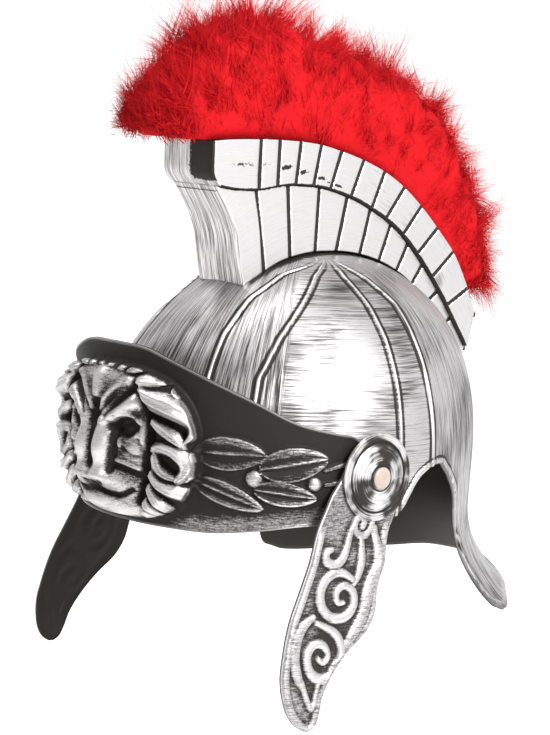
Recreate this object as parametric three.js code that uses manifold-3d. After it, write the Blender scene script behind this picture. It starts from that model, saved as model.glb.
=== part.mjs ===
// Roman legionary helmet in the one-size costume pattern: a hollow skull with a flared neck guard,
// a stepped crest holder with a plume, a swinging visor with a lion's head and laurel in relief,
// and two hanging cheek guards on riveted pivots under round bosses.
// Millimetres, +Z up. The front faces -Y and the wearer's left is +X.
// The origin is the top of the head: the highest point inside the skull.

import * as THREE from 'three';
import { mergeVertices } from 'three/addons/utils/BufferGeometryUtils.js';
import Module from 'manifold-3d';

const wasm = await Module();
wasm.setup();

const { lerp, clamp, degToRad, smoothstep } = THREE.MathUtils;

// Running gaps, and what a flat facet may lie inside the curve it stands for
const SEAT_GAP = 0.3;
const SEAT_SLACK = 0.2;
const SHANK_GAP = 0.3;

// Skull: half sizes of the bowl's outside, and depths below the outside apex. The straight wall
// below the bowl counts as one more depth over a length that is the wall share of the height.
const SKULL = {
  halfWidth: 91,
  halfLength: 110.5,
  height: 110,
  wallShare: 1.36,
  wall: 2,
  frontFullness: -0.1,
  backFullness: 0.32,
  archDepth: 106.8,
  cornerDepth: 188,
  flareStart: 134,
  flareOut: 28,
  cornerTurn: 127.5,
  flareEvenTurn: 155,
  edgeBead: 0.9,
};

// Raised ribs on the bowl
const RIB = { height: 1.3, halfWidth: 1.6, lastFoot: 1.6, fadeStart: 0.16, fadeEnd: 0.3 };

// Pivots of the visor and the cheek guards
const PIVOT = { forward: 24, below: 109, padFace: 90.8, padRadius: 7.5, padDepth: 6.3 };

// Visor: how far its top and its brow stand off the bowl's front, and its edges from the pivots' level
const VISOR = {
  wall: 1.8,
  standOffTop: 15.5,
  standOffBottom: 3.5,
  peakRise: 59.3,
  browDrop: 33.7,
  squarenessTop: 2.25,
  squarenessBottom: 2.05,
  tabRadius: 12,
  lastTurn: 81,
  lionTurn: 36,
};

// Lion's head: a flat-topped platform that the back of the plate follows in part, and the relief on it
const LION = { halfWidth: 54, halfHeight: 41, below: 100, platform: 6, sunkShare: 0.75, relief: 10 };

const LAUREL = { start: 48, length: 78, halfHeight: 19, below: 108, relief: 2.4, berryRadius: 5 };

const GUARD = {
  wall: 1.8,
  length: 126,
  reach: 64,
  splay: 0.16,
  discRadius: 30,
  toeIn: 0.15,
  toeInCentre: 40,
  border: 1.1,
  scrollWidth: 3,
  scrollRise: 1.3,
};

const BOSS = { radius: 23.5, ring: 4.7, rimThickness: 1.8, domeHeight: 4.2 };

const RIVET = {
  shankRadius: 2.2,
  headRadius: 5.8,
  headHeight: 1.8,
  innerHeadRadius: 4.2,
  innerHeadHeight: 1.5,
};

const CREST = {
  lowerHalfWidth: 18,
  upperHalfWidth: 20.5,
  wall: 2,
  front: 88,
  rear: 117,
  lipTop: 57.5,
  grooveDepth: 0.9,
  grooveWidth: 1.5,
};

const PLUME = {
  halfWidth: 27,
  reach: 203,
  backingHalfWidth: 17,
  backingThickness: 5,
  hubBack: 5,
  hubBelow: 60,
  lockSpread: 6.8,
};

// Named values worked out from the sizes above
const equatorZ = SKULL.wall - SKULL.height;
const wallLength = SKULL.height * SKULL.wallShare;
const pivotY = -PIVOT.forward;
const pivotZ = -PIVOT.below;
const tabOuterX = PIVOT.padFace + SEAT_GAP + VISOR.wall;
const guardInnerX = tabOuterX + SEAT_GAP;
const guardOuterX = guardInnerX + GUARD.wall;
const bossBaseX = guardOuterX + SEAT_GAP;
const bossTopX = bossBaseX + BOSS.domeHeight;
const shankHoleRadius = RIVET.shankRadius + SHANK_GAP;

// Shared helpers

function lookup(rows, key, at, column) {
  if (at <= rows[0][key]) return rows[0][column];
  for (let i = 1; i < rows.length; i += 1) {
    if (at <= rows[i][key]) {
      const share = (at - rows[i - 1][key]) / (rows[i][key] - rows[i - 1][key]);
      return lerp(rows[i - 1][column], rows[i][column], share);
    }
  }
  return rows[rows.length - 1][column];
}

// A closed mesh from points and triangles, turned right side out
function meshFrom(points, triangles) {
  let volume = 0;
  for (const [a, b, c] of triangles) {
    volume += points[a].dot(new THREE.Vector3().crossVectors(points[b], points[c]));
  }
  const order = volume < 0 ? [0, 2, 1] : [0, 1, 2];
  const geometry = new THREE.BufferGeometry();
  const flat = points.flatMap((p) => [p.x, p.y, p.z]);
  geometry.setAttribute('position', new THREE.Float32BufferAttribute(flat, 3));
  geometry.setIndex(triangles.flatMap((t) => order.map((k) => t[k])));
  return geometry;
}

function solidFrom(geometry) {
  const bare = geometry.clone();
  bare.deleteAttribute('normal');
  bare.deleteAttribute('uv');
  const merged = mergeVertices(bare, 1e-4);
  const vertProperties = new Float32Array(merged.attributes.position.array);
  const triVerts = new Uint32Array(merged.index.array);
  return new wasm.Manifold(new wasm.Mesh({ numProp: 3, vertProperties, triVerts }));
}

function geometryFrom(solid) {
  const { vertProperties, triVerts } = solid.getMesh();
  const geometry = new THREE.BufferGeometry();
  geometry.setAttribute('position', new THREE.Float32BufferAttribute(vertProperties, 3));
  geometry.setIndex(Array.from(triVerts));
  return geometry;
}

// Joins rings of equal length into a skin; a ring of one point is a pole
function skin(rings, closed, points, triangles) {
  const starts = rings.map((ring) => {
    const start = points.length;
    points.push(...ring);
    return start;
  });
  for (let r = 1; r < rings.length; r += 1) {
    const above = rings[r - 1];
    const below = rings[r];
    const length = Math.max(above.length, below.length);
    const count = closed ? length : length - 1;
    const place = (ring, start, i) => start + (ring.length === 1 ? 0 : i);
    for (let i = 0; i < count; i += 1) {
      const next = (i + 1) % length;
      const a = place(above, starts[r - 1], i);
      const b = place(above, starts[r - 1], next);
      const c = place(below, starts[r], i);
      const d = place(below, starts[r], next);
      if (below.length > 1) triangles.push([a, c, d]);
      if (above.length > 1) triangles.push([a, d, b]);
    }
  }
  return starts;
}

// A bowl with an outer and an inner skin that meet at the rim
function bowlGeometry(outerRings, innerRings) {
  const points = [];
  const triangles = [];
  const outerStarts = skin(outerRings, true, points, triangles);
  const innerTriangles = [];
  const innerStarts = skin(innerRings, true, points, innerTriangles);
  innerTriangles.forEach(([a, b, c]) => triangles.push([a, c, b]));
  const outerRim = outerStarts[outerStarts.length - 1];
  const innerRim = innerStarts[innerStarts.length - 1];
  const count = outerRings[outerRings.length - 1].length;
  for (let i = 0; i < count; i += 1) {
    const next = (i + 1) % count;
    triangles.push([outerRim + i, innerRim + i, innerRim + next]);
    triangles.push([outerRim + i, innerRim + next, outerRim + next]);
  }
  return meshFrom(points, triangles);
}

// A plate with an outer and an inner face. Both faces have the same columns, and their own rows.
function plateGeometry(outerRows, innerRows) {
  const points = [];
  const triangles = [];
  const outer = skin(outerRows, false, points, triangles);
  const innerTriangles = [];
  const inner = skin(innerRows, false, points, innerTriangles);
  innerTriangles.forEach(([a, b, c]) => triangles.push([a, c, b]));
  const columns = outerRows[0].length;
  const last = columns - 1;
  for (let i = 0; i < last; i += 1) {
    const topOut = outer[0] + i;
    const topIn = inner[0] + i;
    triangles.push([topOut, topOut + 1, topIn + 1], [topOut, topIn + 1, topIn]);
    const lowOut = outer[outer.length - 1] + i;
    const lowIn = inner[inner.length - 1] + i;
    triangles.push([lowOut, lowIn + 1, lowOut + 1], [lowOut, lowIn, lowIn + 1]);
  }
  closeSide(outer, inner, false, triangles);
  closeSide(outer.map((s) => s + last), inner.map((s) => s + last), true, triangles);
  return meshFrom(points, triangles);
}

// Fills the edge between two lines of points that share their ends' places but not their count
function closeSide(outer, inner, turned, triangles) {
  let o = 0;
  let i = 0;
  const add = (a, b, c) => triangles.push(turned ? [a, c, b] : [a, b, c]);
  while (o < outer.length - 1 || i < inner.length - 1) {
    const outerShare = (o + 1) / (outer.length - 1);
    const innerShare = (i + 1) / (inner.length - 1);
    if (i === inner.length - 1 || (o < outer.length - 1 && outerShare <= innerShare)) {
      add(outer[o], inner[i], outer[o + 1]);
      o += 1;
    } else {
      add(outer[o], inner[i], inner[i + 1]);
      i += 1;
    }
  }
}

// A body of equal closed rings with flat or pointed ends
function loftGeometry(rings) {
  const points = [];
  const triangles = [];
  const starts = skin(rings, true, points, triangles);
  [[0, true], [rings.length - 1, false]].forEach(([index, turned]) => {
    const ring = rings[index];
    if (ring.length === 1) return;
    const middle = points.length;
    const centre = new THREE.Vector3();
    ring.forEach((p) => centre.addScaledVector(p, 1 / ring.length));
    points.push(centre);
    ring.forEach((_, i) => {
      const a = starts[index] + i;
      const b = starts[index] + ((i + 1) % ring.length);
      triangles.push(turned ? [middle, a, b] : [middle, b, a]);
    });
  });
  return meshFrom(points, triangles);
}

// A turned piece whose axis lies along X through a pivot, on the side given by side
function turnedAcross(profile, segments, side) {
  const path = profile.map(([radius, x]) => new THREE.Vector2(radius, x));
  const geometry = new THREE.LatheGeometry(path, segments);
  geometry.rotateZ(-Math.PI / 2);
  geometry.translate(0, pivotY, pivotZ);
  if (side < 0) geometry.rotateY(Math.PI).translate(0, 0, 2 * pivotZ);
  return geometry;
}

function shankHole(side) {
  const length = 3 * PIVOT.padFace;
  const hole = new THREE.CylinderGeometry(shankHoleRadius, shankHoleRadius, length, 16);
  hole.rotateZ(Math.PI / 2);
  hole.translate(side * length / 2 + side * SKULL.wall, pivotY, pivotZ);
  return solidFrom(hole);
}

// Skull

// Height of the rim at each turn from the front, as a share of the way from the top of the ear
// arch down to the corner of the neck guard
const RIM = [
  { turn: 0, drop: 0.31 },
  { turn: 60, drop: 0.32 },
  { turn: 84, drop: 0.335 },
  { turn: 90, drop: 0.3 },
  { turn: 93, drop: 0.2 },
  { turn: 96.6, drop: 0.085 },
  { turn: 100, drop: 0.033 },
  { turn: 103, drop: 0.007 },
  { turn: 106.5, drop: 0 },
  { turn: 108.75, drop: 0.039 },
  { turn: 111.2, drop: 0.08 },
  { turn: 113.25, drop: 0.126 },
  { turn: 115.1, drop: 0.17 },
  { turn: 116.5, drop: 0.212 },
  { turn: 117.6, drop: 0.275 },
  { turn: 118.3, drop: 0.372 },
  { turn: 118.8, drop: 0.557 },
  { turn: 119.3, drop: 0.729 },
  { turn: 119.9, drop: 0.84 },
  { turn: 121, drop: 0.926 },
  { turn: 124, drop: 0.975 },
  { turn: 127.5, drop: 1 },
  { turn: 142, drop: 0.95 },
  { turn: 157, drop: 0.89 },
  { turn: 169, drop: 0.83 },
  { turn: 180, drop: 0.815 },
];

// Each rib's turn from the front in degrees at growing depths: 1 is the widest level of the bowl
const RIB_LINES = [
  { depth: 0.0, frontInner: 70, frontOuter: 75, sideFront: 81, sideRear: 87 },
  { depth: 0.2, frontInner: 68, frontOuter: 74, sideFront: 80, sideRear: 86 },
  { depth: 0.31, frontInner: 40, frontOuter: 62, sideFront: 81, sideRear: 96 },
  { depth: 0.44, frontInner: 28.5, frontOuter: 55, sideFront: 86, sideRear: 102 },
  { depth: 0.58, frontInner: 25, frontOuter: 47, sideFront: 88, sideRear: 102 },
  { depth: 0.72, frontInner: 25, frontOuter: 42, sideFront: 88.5, sideRear: 102 },
];
const RIB_NAMES = ['frontInner', 'frontOuter', 'sideFront', 'sideRear'];

// Columns between the ribs, as shares of the turn from one rib to the next
const COLUMN_SHARES = [
  [0, 0.34, 0.68],
  [0.5],
  [0.2, 0.4, 0.6, 0.8],
  [0.5],
  [0.04, 0.0865, 0.144, 0.168, 0.186, 0.2, 0.209, 0.2154, 0.2218, 0.2295, 0.2436, 0.282, 0.327, 0.4, 0.513, 0.68, 0.85, 1],
];

const SKULL_ROWS = { upper: [0, 0.15, 0.3, 0.43, 0.55, 0.66, 0.76, 0.86], lowerSteps: 6 };

function fullness(turn) {
  const backward = -Math.cos(degToRad(turn));
  const front = SKULL.frontFullness * smoothstep(-backward, 0.1, 0.9);
  return 2 + front + SKULL.backFullness * smoothstep(backward, -0.1, 0.9);
}

function rimZ(turn) {
  const drop = lookup(RIM, 'turn', Math.abs(turn), 'drop');
  return SKULL.wall - lerp(SKULL.archDepth, SKULL.cornerDepth, drop);
}

function rimDepth(turn) {
  const z = rimZ(turn);
  if (z < equatorZ) return 1 + (equatorZ - z) / wallLength;
  const share = (z - equatorZ) / SKULL.height;
  return Math.acos(share ** (fullness(turn) / 2)) / (Math.PI / 2);
}

// A point of the bowl's outside at a turn from the front and a depth from the apex
function skullPoint(turn, depth) {
  const power = 2 / fullness(turn);
  const lean = Math.min(depth, 1) * Math.PI / 2;
  const radius = Math.sin(lean) ** power;
  let z = equatorZ + SKULL.height * Math.max(0, Math.cos(lean)) ** power;
  if (depth > 1) z = equatorZ - (depth - 1) * wallLength;
  const angle = degToRad(turn);
  const point = new THREE.Vector3(
    SKULL.halfWidth * Math.sin(angle) * radius,
    -SKULL.halfLength * Math.cos(angle) * radius,
    z,
  );
  const flareTop = SKULL.wall - SKULL.flareStart;
  const flareDepth = flareTop - rimZ(turn);
  if (Math.abs(turn) > 110 && z < flareTop) {
    const byHeight = (flareTop - z) / (SKULL.cornerDepth - SKULL.flareStart);
    const behind = smoothstep(Math.abs(turn), SKULL.cornerTurn, SKULL.flareEvenTurn);
    const share = behind > 0 ? lerp(byHeight, (flareTop - z) / flareDepth, behind) : byHeight;
    const grow = SKULL.flareOut * share * share;
    const across = Math.hypot(point.x, point.y);
    point.x *= 1 + grow / across;
    point.y *= 1 + grow / across;
  }
  return point;
}

function skullNormal(turn, depth) {
  if (depth < 0.01) return new THREE.Vector3(0, 0, 1);
  const step = 0.01;
  const along = skullPoint(turn, depth + step).sub(skullPoint(turn, depth - step));
  const around = skullPoint(turn + 1, depth).sub(skullPoint(turn - 1, depth));
  const normal = new THREE.Vector3().crossVectors(along, around).normalize();
  const outward = new THREE.Vector3(Math.sin(degToRad(turn)), -Math.cos(degToRad(turn)), 1);
  return normal.dot(outward) < 0 ? normal.negate() : normal;
}

// The columns of the left half at one depth, with how far each stands on a rib
function skullColumns(depth) {
  const keys = [0, ...RIB_NAMES.map((name) => lookup(RIB_LINES, 'depth', depth, name)), 180];
  const level = Math.sin(Math.min(depth, 1) * Math.PI / 2);
  const ribTurn = THREE.MathUtils.radToDeg(RIB.halfWidth / (SKULL.halfWidth * Math.max(level, 0.05)));
  const columns = [];
  for (let k = 0; k < keys.length - 1; k += 1) {
    const gap = keys[k + 1] - keys[k];
    COLUMN_SHARES[k].forEach((share) => columns.push({ turn: keys[k] + share * gap, rib: 0 }));
    if (k < RIB_NAMES.length) {
      const before = Math.min(ribTurn, gap / 4);
      const widest = k === RIB_NAMES.length - 1 ? RIB.lastFoot : ribTurn;
      const after = Math.min(ribTurn, widest, (keys[k + 2] - keys[k + 1]) / 4);
      columns.push({ turn: keys[k + 1] - before, rib: 0 });
      columns.push({ turn: keys[k + 1], rib: 1 });
      columns.push({ turn: keys[k + 1] + after, rib: 0 });
    }
  }
  return columns;
}

function wholeTurn(left) {
  const right = left.slice(1, -1).reverse().map((column) => ({ ...column, turn: -column.turn }));
  return [...left, ...right];
}

function skullRings(depthOffsets, raised, inset) {
  const rimColumns = wholeTurn(skullColumns(1));
  const rimDepths = rimColumns.map((column) => rimDepth(column.turn));
  const lowest = SKULL_ROWS.upper[SKULL_ROWS.upper.length - 1];
  return depthOffsets.map((row) => {
    if (row === 0) {
      return [new THREE.Vector3(0, 0, SKULL.wall - inset)];
    }
    const fixed = Math.min(row, lowest);
    const below = Math.max(0, row - lowest);
    return rimColumns.map((rimColumn, i) => {
      const depth = fixed + below * (rimDepths[i] - lowest);
      const column = wholeTurn(skullColumns(depth))[i];
      const point = skullPoint(column.turn, depth);
      const normal = skullNormal(column.turn, depth);
      const fade = smoothstep(depth, RIB.fadeStart, RIB.fadeEnd);
      const nearRim = smoothstep(below, 0.74, 0.86) * smoothstep(Math.abs(column.turn), 86, 92);
      const raise = raised ? Math.max(RIB.height * column.rib * fade, SKULL.edgeBead * nearRim) : 0;
      return point.addScaledVector(normal, raise - inset);
    });
  });
}

// Rows as depths down to the last fixed row, then that row plus the share of the way to the rim
function skullRowList(every) {
  const lowest = SKULL_ROWS.upper[SKULL_ROWS.upper.length - 1];
  const rows = [...SKULL_ROWS.upper];
  for (let i = 1; i <= SKULL_ROWS.lowerSteps; i += 1) rows.push(lowest + i / SKULL_ROWS.lowerSteps);
  return rows.filter((_, i) => i % every === 0 || i === rows.length - 1);
}

function pivotPad(side) {
  const face = PIVOT.padFace;
  const back = face - PIVOT.padDepth;
  const profile = [[0, back], [PIVOT.padRadius, back], [PIVOT.padRadius, face], [0, face]];
  return solidFrom(turnedAcross(profile, 20, side));
}

function makeSkull() {
  const shell = bowlGeometry(
    skullRings(skullRowList(1), true, 0),
    skullRings(skullRowList(2), false, SKULL.wall),
  );
  let solid = solidFrom(shell);
  for (const side of [1, -1]) {
    solid = solid.add(pivotPad(side));
    solid = solid.subtract(shankHole(side));
  }
  return geometryFrom(solid);
}

// The top of the bowl as a filled body, a little larger, which the crest holder is cut to sit on
function skullSeat() {
  const columns = 48;
  const turns = Array.from({ length: columns }, (_, i) => 360 * i / columns - 180);
  const rings = [...SKULL_ROWS.upper.slice(1), 1].map((depth) => turns.map((turn) => {
    return skullPoint(turn, depth).addScaledVector(skullNormal(turn, depth), SEAT_GAP + SEAT_SLACK);
  }));
  return solidFrom(loftGeometry([[new THREE.Vector3(0, 0, SKULL.wall + SEAT_GAP)], ...rings]));
}

// Visor

// Edges at turns from the front, as shares of the peak's rise and the brow's drop at the pivots' level
const VISOR_EDGES = [
  { turn: 0, top: 1, bottom: 1 },
  { turn: 12, top: 0.985, bottom: 1 },
  { turn: 20, top: 0.92, bottom: 0.995 },
  { turn: 35, top: 0.775, bottom: 0.98 },
  { turn: 50, top: 0.615, bottom: 0.89 },
  { turn: 63, top: 0.46, bottom: 0.79 },
  { turn: 75, top: 0.385, bottom: 0.72 },
  { turn: 81, top: 0.36, bottom: 0.64 },
];

// Forms of the lion's head, as shares of its half width and half height from its middle, and of
// its relief. Each is a rounded lump, and a pair stands on both sides.
const LION_FORMS = [
  { across: 0, up: -0.5, wide: 0.33, tall: 0.38, rise: 0.95 },
  { across: 0, up: -0.1, wide: 0.17, tall: 0.55, rise: 0.95 },
  { across: 0.25, up: 0.27, wide: 0.27, tall: 0.2, rise: 0.9 },
  { across: 0, up: 0.55, wide: 0.4, tall: 0.34, rise: 0.6 },
  { across: 0.42, up: -0.2, wide: 0.24, tall: 0.3, rise: 0.45 },
  { across: 0, up: -0.84, wide: 0.26, tall: 0.2, rise: 0.7 },
  { across: 0.74, up: 0.68, wide: 0.17, tall: 0.24, rise: 0.55 },
  { across: 0.77, up: 0.33, wide: 0.25, tall: 0.22, rise: 0.5 },
  { across: 0.78, up: -0.04, wide: 0.24, tall: 0.21, rise: 0.5 },
  { across: 0.73, up: -0.4, wide: 0.25, tall: 0.2, rise: 0.5 },
  { across: 0.6, up: -0.74, wide: 0.26, tall: 0.2, rise: 0.45 },
  { across: 0.35, up: 0.88, wide: 0.25, tall: 0.2, rise: 0.4 },
];

// Leaves and berries, as shares of the laurel's length and half height, with the tilt in degrees
const LAUREL_FORMS = [
  { along: 0.26, up: 0.42, half: 0.23, wide: 0.46, tilt: 2, rise: 1 },
  { along: 0.24, up: -0.68, half: 0.24, wide: 0.32, tilt: -18, rise: 1 },
  { along: 0.68, up: 0.38, half: 0.22, wide: 0.47, tilt: 8, rise: 1 },
  { along: 0.62, up: -0.6, half: 0.2, wide: 0.33, tilt: -4, rise: 1 },
];
const BERRIES = [
  { along: 0.41, up: -0.18 },
  { along: 0.81, up: -0.26 },
];

// Columns behind the pivots, as shares of the tab's radius
const TAB_COLUMNS = [0.45, 0.8, 0.97];

function squareness(height) {
  return lerp(VISOR.squarenessBottom, VISOR.squarenessTop, height);
}

// Height on the visor's front as a share, from the brow edge to the peak
function heightShare(z) {
  return clamp((z - pivotZ + VISOR.browDrop) / (VISOR.peakRise + VISOR.browDrop), 0, 1);
}

function visorPoint(turn, z) {
  const height = heightShare(z);
  const power = 2 / squareness(height);
  const toBowl = SKULL.halfLength - PIVOT.forward;
  const reach = toBowl + lerp(VISOR.standOffBottom, VISOR.standOffTop, height);
  const angle = degToRad(Math.abs(turn));
  const x = tabOuterX * Math.sin(angle) ** power * Math.sign(turn);
  const y = pivotY - reach * Math.max(0, Math.cos(angle)) ** power;
  return new THREE.Vector3(x, y, z);
}

function visorNormal(turn, z) {
  const around = visorPoint(turn + 0.5, z).sub(visorPoint(turn - 0.5, z));
  const up = visorPoint(turn, z + 0.5).sub(visorPoint(turn, z - 0.5));
  return new THREE.Vector3().crossVectors(around, up).normalize();
}

// Distance round the visor from its middle, in millimetres
function roundVisor(turn) {
  return degToRad(turn) * tabOuterX;
}

function lump(across, up, form) {
  const distance = ((across - form.across) / form.wide) ** 2 + ((up - form.up) / form.tall) ** 2;
  return form.rise * Math.sqrt(Math.max(0, 1 - distance));
}

function lionPlatform(s, z) {
  const across = Math.abs(s) / LION.halfWidth;
  const up = (z + LION.below) / LION.halfHeight;
  const distance = across ** 2.6 + Math.abs(up) ** 2.6;
  return LION.platform * smoothstep(1 - distance, 0, 0.45);
}

function lionRelief(s, z) {
  const across = Math.abs(s) / LION.halfWidth;
  const up = (z + LION.below) / LION.halfHeight;
  return LION.relief * Math.max(...LION_FORMS.map((form) => lump(across, up, form)));
}

function laurelRelief(s, z) {
  const along = (Math.abs(s) - LAUREL.start) / LAUREL.length;
  const up = (z + LAUREL.below) / LAUREL.halfHeight;
  const leaves = LAUREL_FORMS.map((leaf) => {
    const tilt = degToRad(leaf.tilt);
    const dx = (along - leaf.along) * LAUREL.length;
    const dz = (up - leaf.up) * LAUREL.halfHeight;
    const a = (dx * Math.cos(tilt) + dz * Math.sin(tilt)) / (leaf.half * LAUREL.length);
    const b = (dz * Math.cos(tilt) - dx * Math.sin(tilt)) / (leaf.wide * LAUREL.halfHeight);
    const side = a * a + b * b;
    return leaf.rise * Math.sqrt(Math.max(0, 1 - side));
  });
  const berries = BERRIES.map((berry) => {
    const dx = (along - berry.along) * LAUREL.length;
    const dz = (up - berry.up) * LAUREL.halfHeight;
    return Math.sqrt(Math.max(0, 1 - (dx * dx + dz * dz) / LAUREL.berryRadius ** 2));
  });
  return LAUREL.relief * Math.max(...leaves, ...berries);
}

function visorColumns() {
  const half = [];
  const { lionTurn, lastTurn } = VISOR;
  const steps = 12;
  for (let i = 0; i <= steps; i += 1) half.push({ turn: lionTurn * i / steps, back: 0 });
  for (let i = 1; i <= steps; i += 1) half.push({ turn: lerp(lionTurn, lastTurn, i / steps), back: 0 });
  half.push({ turn: (lastTurn + 91) / 2, back: 0 }, { turn: 90, back: 0 });
  TAB_COLUMNS.forEach((share) => half.push({ turn: 90, back: share * VISOR.tabRadius }));
  const far = half.slice(1).reverse().map((column) => ({ turn: -column.turn, back: column.back }));
  return [...far, ...half];
}

function visorEdge(column, edge) {
  const turn = Math.abs(column.turn);
  const whole = edge === 'top' ? VISOR.peakRise : -VISOR.browDrop;
  const tab = Math.sqrt(VISOR.tabRadius ** 2 - column.back ** 2) * Math.sign(whole);
  const last = VISOR_EDGES[VISOR_EDGES.length - 1];
  if (turn <= last.turn) return whole * lookup(VISOR_EDGES, 'turn', turn, edge);
  return lerp(whole * last[edge], tab, clamp((turn - last.turn) / (90 - last.turn), 0, 1));
}

function visorFace(rows, relief) {
  const columns = visorColumns();
  const face = [];
  for (let r = 0; r <= rows; r += 1) {
    face.push(columns.map((column) => {
      const top = visorEdge(column, 'top');
      const bottom = visorEdge(column, 'bottom');
      const z = pivotZ + lerp(top, bottom, r / rows);
      const point = visorPoint(column.turn, z);
      const normal = Math.abs(column.turn) > 86
        ? new THREE.Vector3(Math.sign(column.turn), 0, 0)
        : visorNormal(column.turn, z);
      point.y += column.back;
      const rim = smoothstep(Math.min(r, rows - r), 0, 2);
      return point.addScaledVector(normal, relief(roundVisor(column.turn), z, rim));
    }));
  }
  return face;
}

function makeVisor() {
  const outer = visorFace(14, (s, z, rim) => {
    return rim * (lionPlatform(s, z) + lionRelief(s, z) + laurelRelief(s, z));
  });
  const inner = visorFace(5, (s, z, rim) => LION.sunkShare * rim * lionPlatform(s, z) - VISOR.wall);
  let solid = solidFrom(plateGeometry(outer, inner));
  for (const side of [1, -1]) solid = solid.subtract(shankHole(side));
  return geometryFrom(solid);
}

// Cheek guards

// Outline below the pivot, as a share of the length, with its two edges as shares of the reach
const GUARD_OUTLINE = [
  { down: -0.16, front: -0.08, rear: 0.08 },
  { down: -0.12, front: -0.23, rear: 0.21 },
  { down: 0, front: -0.355, rear: 0.3 },
  { down: 0.1, front: -0.49, rear: 0.28 },
  { down: 0.19, front: -0.6, rear: 0.235 },
  { down: 0.33, front: -0.69, rear: 0.08 },
  { down: 0.44, front: -0.785, rear: -0.015 },
  { down: 0.55, front: -0.885, rear: -0.055 },
  { down: 0.62, front: -0.93, rear: -0.14 },
  { down: 0.7, front: -0.965, rear: -0.33 },
  { down: 0.79, front: -0.99, rear: -0.49 },
  { down: 0.87, front: -0.97, rear: -0.585 },
  { down: 0.94, front: -0.915, rear: -0.625 },
  { down: 0.985, front: -0.83, rear: -0.67 },
  { down: 1, front: -0.77, rear: -0.72 },
];

// Places across the guard from its front edge to its rear edge, and how far each is raised
const GUARD_SECTION = [
  { across: 0, raise: 0 },
  { across: 0.035, raise: 1 },
  { across: 0.11, raise: 1 },
  { across: 0.15, raise: 0 },
  { across: 0.5, raise: 0.15 },
  { across: 0.85, raise: 0 },
  { across: 0.89, raise: 1 },
  { across: 0.965, raise: 1 },
  { across: 1, raise: 0 },
];

// Scrolls as spirals: the middle as shares of reach and length, radii in shares of the reach
const SCROLLS = [
  { forward: 0.13, down: 0.21, outer: 0.1, inner: 0.035, start: 200, turns: -0.8 },
  { forward: 0.42, down: 0.31, outer: 0.1, inner: 0.035, start: 20, turns: -0.8 },
  { forward: 0.45, down: 0.465, outer: 0.15, inner: 0.04, start: 300, turns: 1.25 },
  { forward: 0.6, down: 0.7, outer: 0.16, inner: 0.04, start: 120, turns: 1.3 },
];

// The guard leans out below its flat disc, and its front edge turns in towards the cheek
function guardX(y, z) {
  const radius = Math.hypot(y - pivotY, z - pivotZ);
  const lean = GUARD.splay * Math.max(0, radius - GUARD.discRadius);
  const belowDisc = smoothstep(radius, 1.25 * BOSS.radius, 2 * BOSS.radius);
  return guardOuterX + lean - GUARD.toeIn * (pivotY - y - GUARD.toeInCentre) * belowDisc;
}

function guardFace(inset, border) {
  return GUARD_OUTLINE.map((row) => GUARD_SECTION.map((place) => {
    const y = pivotY + GUARD.reach * lerp(row.front, row.rear, place.across);
    const z = pivotZ - GUARD.length * row.down;
    const shown = smoothstep(row.down, 0.19, 0.3) * (row.down < 0.99 ? 1 : 0);
    return new THREE.Vector3(guardX(y, z) - inset + border * place.raise * shown, y, z);
  }));
}

class ScrollLine extends THREE.Curve {
  constructor(scroll) {
    super();
    this.scroll = scroll;
  }

  getPoint(t, target = new THREE.Vector3()) {
    const { forward, down, outer, inner, start, turns } = this.scroll;
    const radius = GUARD.reach * lerp(outer, inner, t);
    const angle = degToRad(start) + turns * 2 * Math.PI * t;
    const y = pivotY - GUARD.reach * forward + radius * Math.cos(angle);
    const z = pivotZ - GUARD.length * down + radius * Math.sin(angle);
    return target.set(guardX(y, z), y, z);
  }
}

// A raised band of trapezium section that follows a scroll's line on the guard
function scrollBand(scroll) {
  const line = new ScrollLine(scroll);
  const steps = Math.ceil(Math.abs(scroll.turns) * 8);
  const rings = [];
  for (let i = 0; i <= steps; i += 1) {
    const t = i / steps;
    const middle = line.getPoint(t);
    const ahead = line.getTangent(t);
    const sideways = new THREE.Vector3(0, -ahead.z, ahead.y).normalize();
    const half = GUARD.scrollWidth / 2;
    const edge = (share, rise) => middle.clone().addScaledVector(sideways, share * half)
      .add(new THREE.Vector3(rise, 0, 0));
    rings.push([
      edge(-1, -GUARD.wall / 2),
      edge(-0.6, GUARD.scrollRise),
      edge(0.6, GUARD.scrollRise),
      edge(1, -GUARD.wall / 2),
    ]);
  }
  return solidFrom(loftGeometry(rings));
}

function makeGuard() {
  let solid = solidFrom(plateGeometry(guardFace(0, GUARD.border), guardFace(GUARD.wall, 0)));
  const underBoss = solidFrom(turnedAcross([
    [0, guardOuterX],
    [BOSS.radius + SHANK_GAP, guardOuterX],
    [BOSS.radius + SHANK_GAP, bossTopX],
    [0, bossTopX],
  ], 18, 1));
  SCROLLS.forEach((scroll) => {
    solid = solid.add(scrollBand(scroll).subtract(underBoss));
  });
  solid = solid.subtract(shankHole(1));
  return geometryFrom(solid);
}

function mirrored(geometry) {
  const copy = geometry.clone();
  copy.scale(-1, 1, 1);
  const index = copy.index.array;
  for (let i = 0; i < index.length; i += 3) {
    const first = index[i];
    index[i] = index[i + 1];
    index[i + 1] = first;
  }
  return copy;
}

// Bosses and rivets

function makeBoss(side) {
  const rim = bossBaseX + BOSS.rimThickness;
  const inner = BOSS.radius - BOSS.ring;
  const top = bossTopX;
  const profile = [
    [shankHoleRadius, bossBaseX],
    [BOSS.radius, bossBaseX],
    [BOSS.radius, rim - 0.5],
    [BOSS.radius - 0.7, rim],
    [inner, rim],
    [inner * 0.55, lerp(rim, top, 0.72)],
    [RIVET.headRadius, top],
    [shankHoleRadius, top],
    [shankHoleRadius, bossBaseX],
  ];
  return turnedAcross(profile, 18, side);
}

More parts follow.
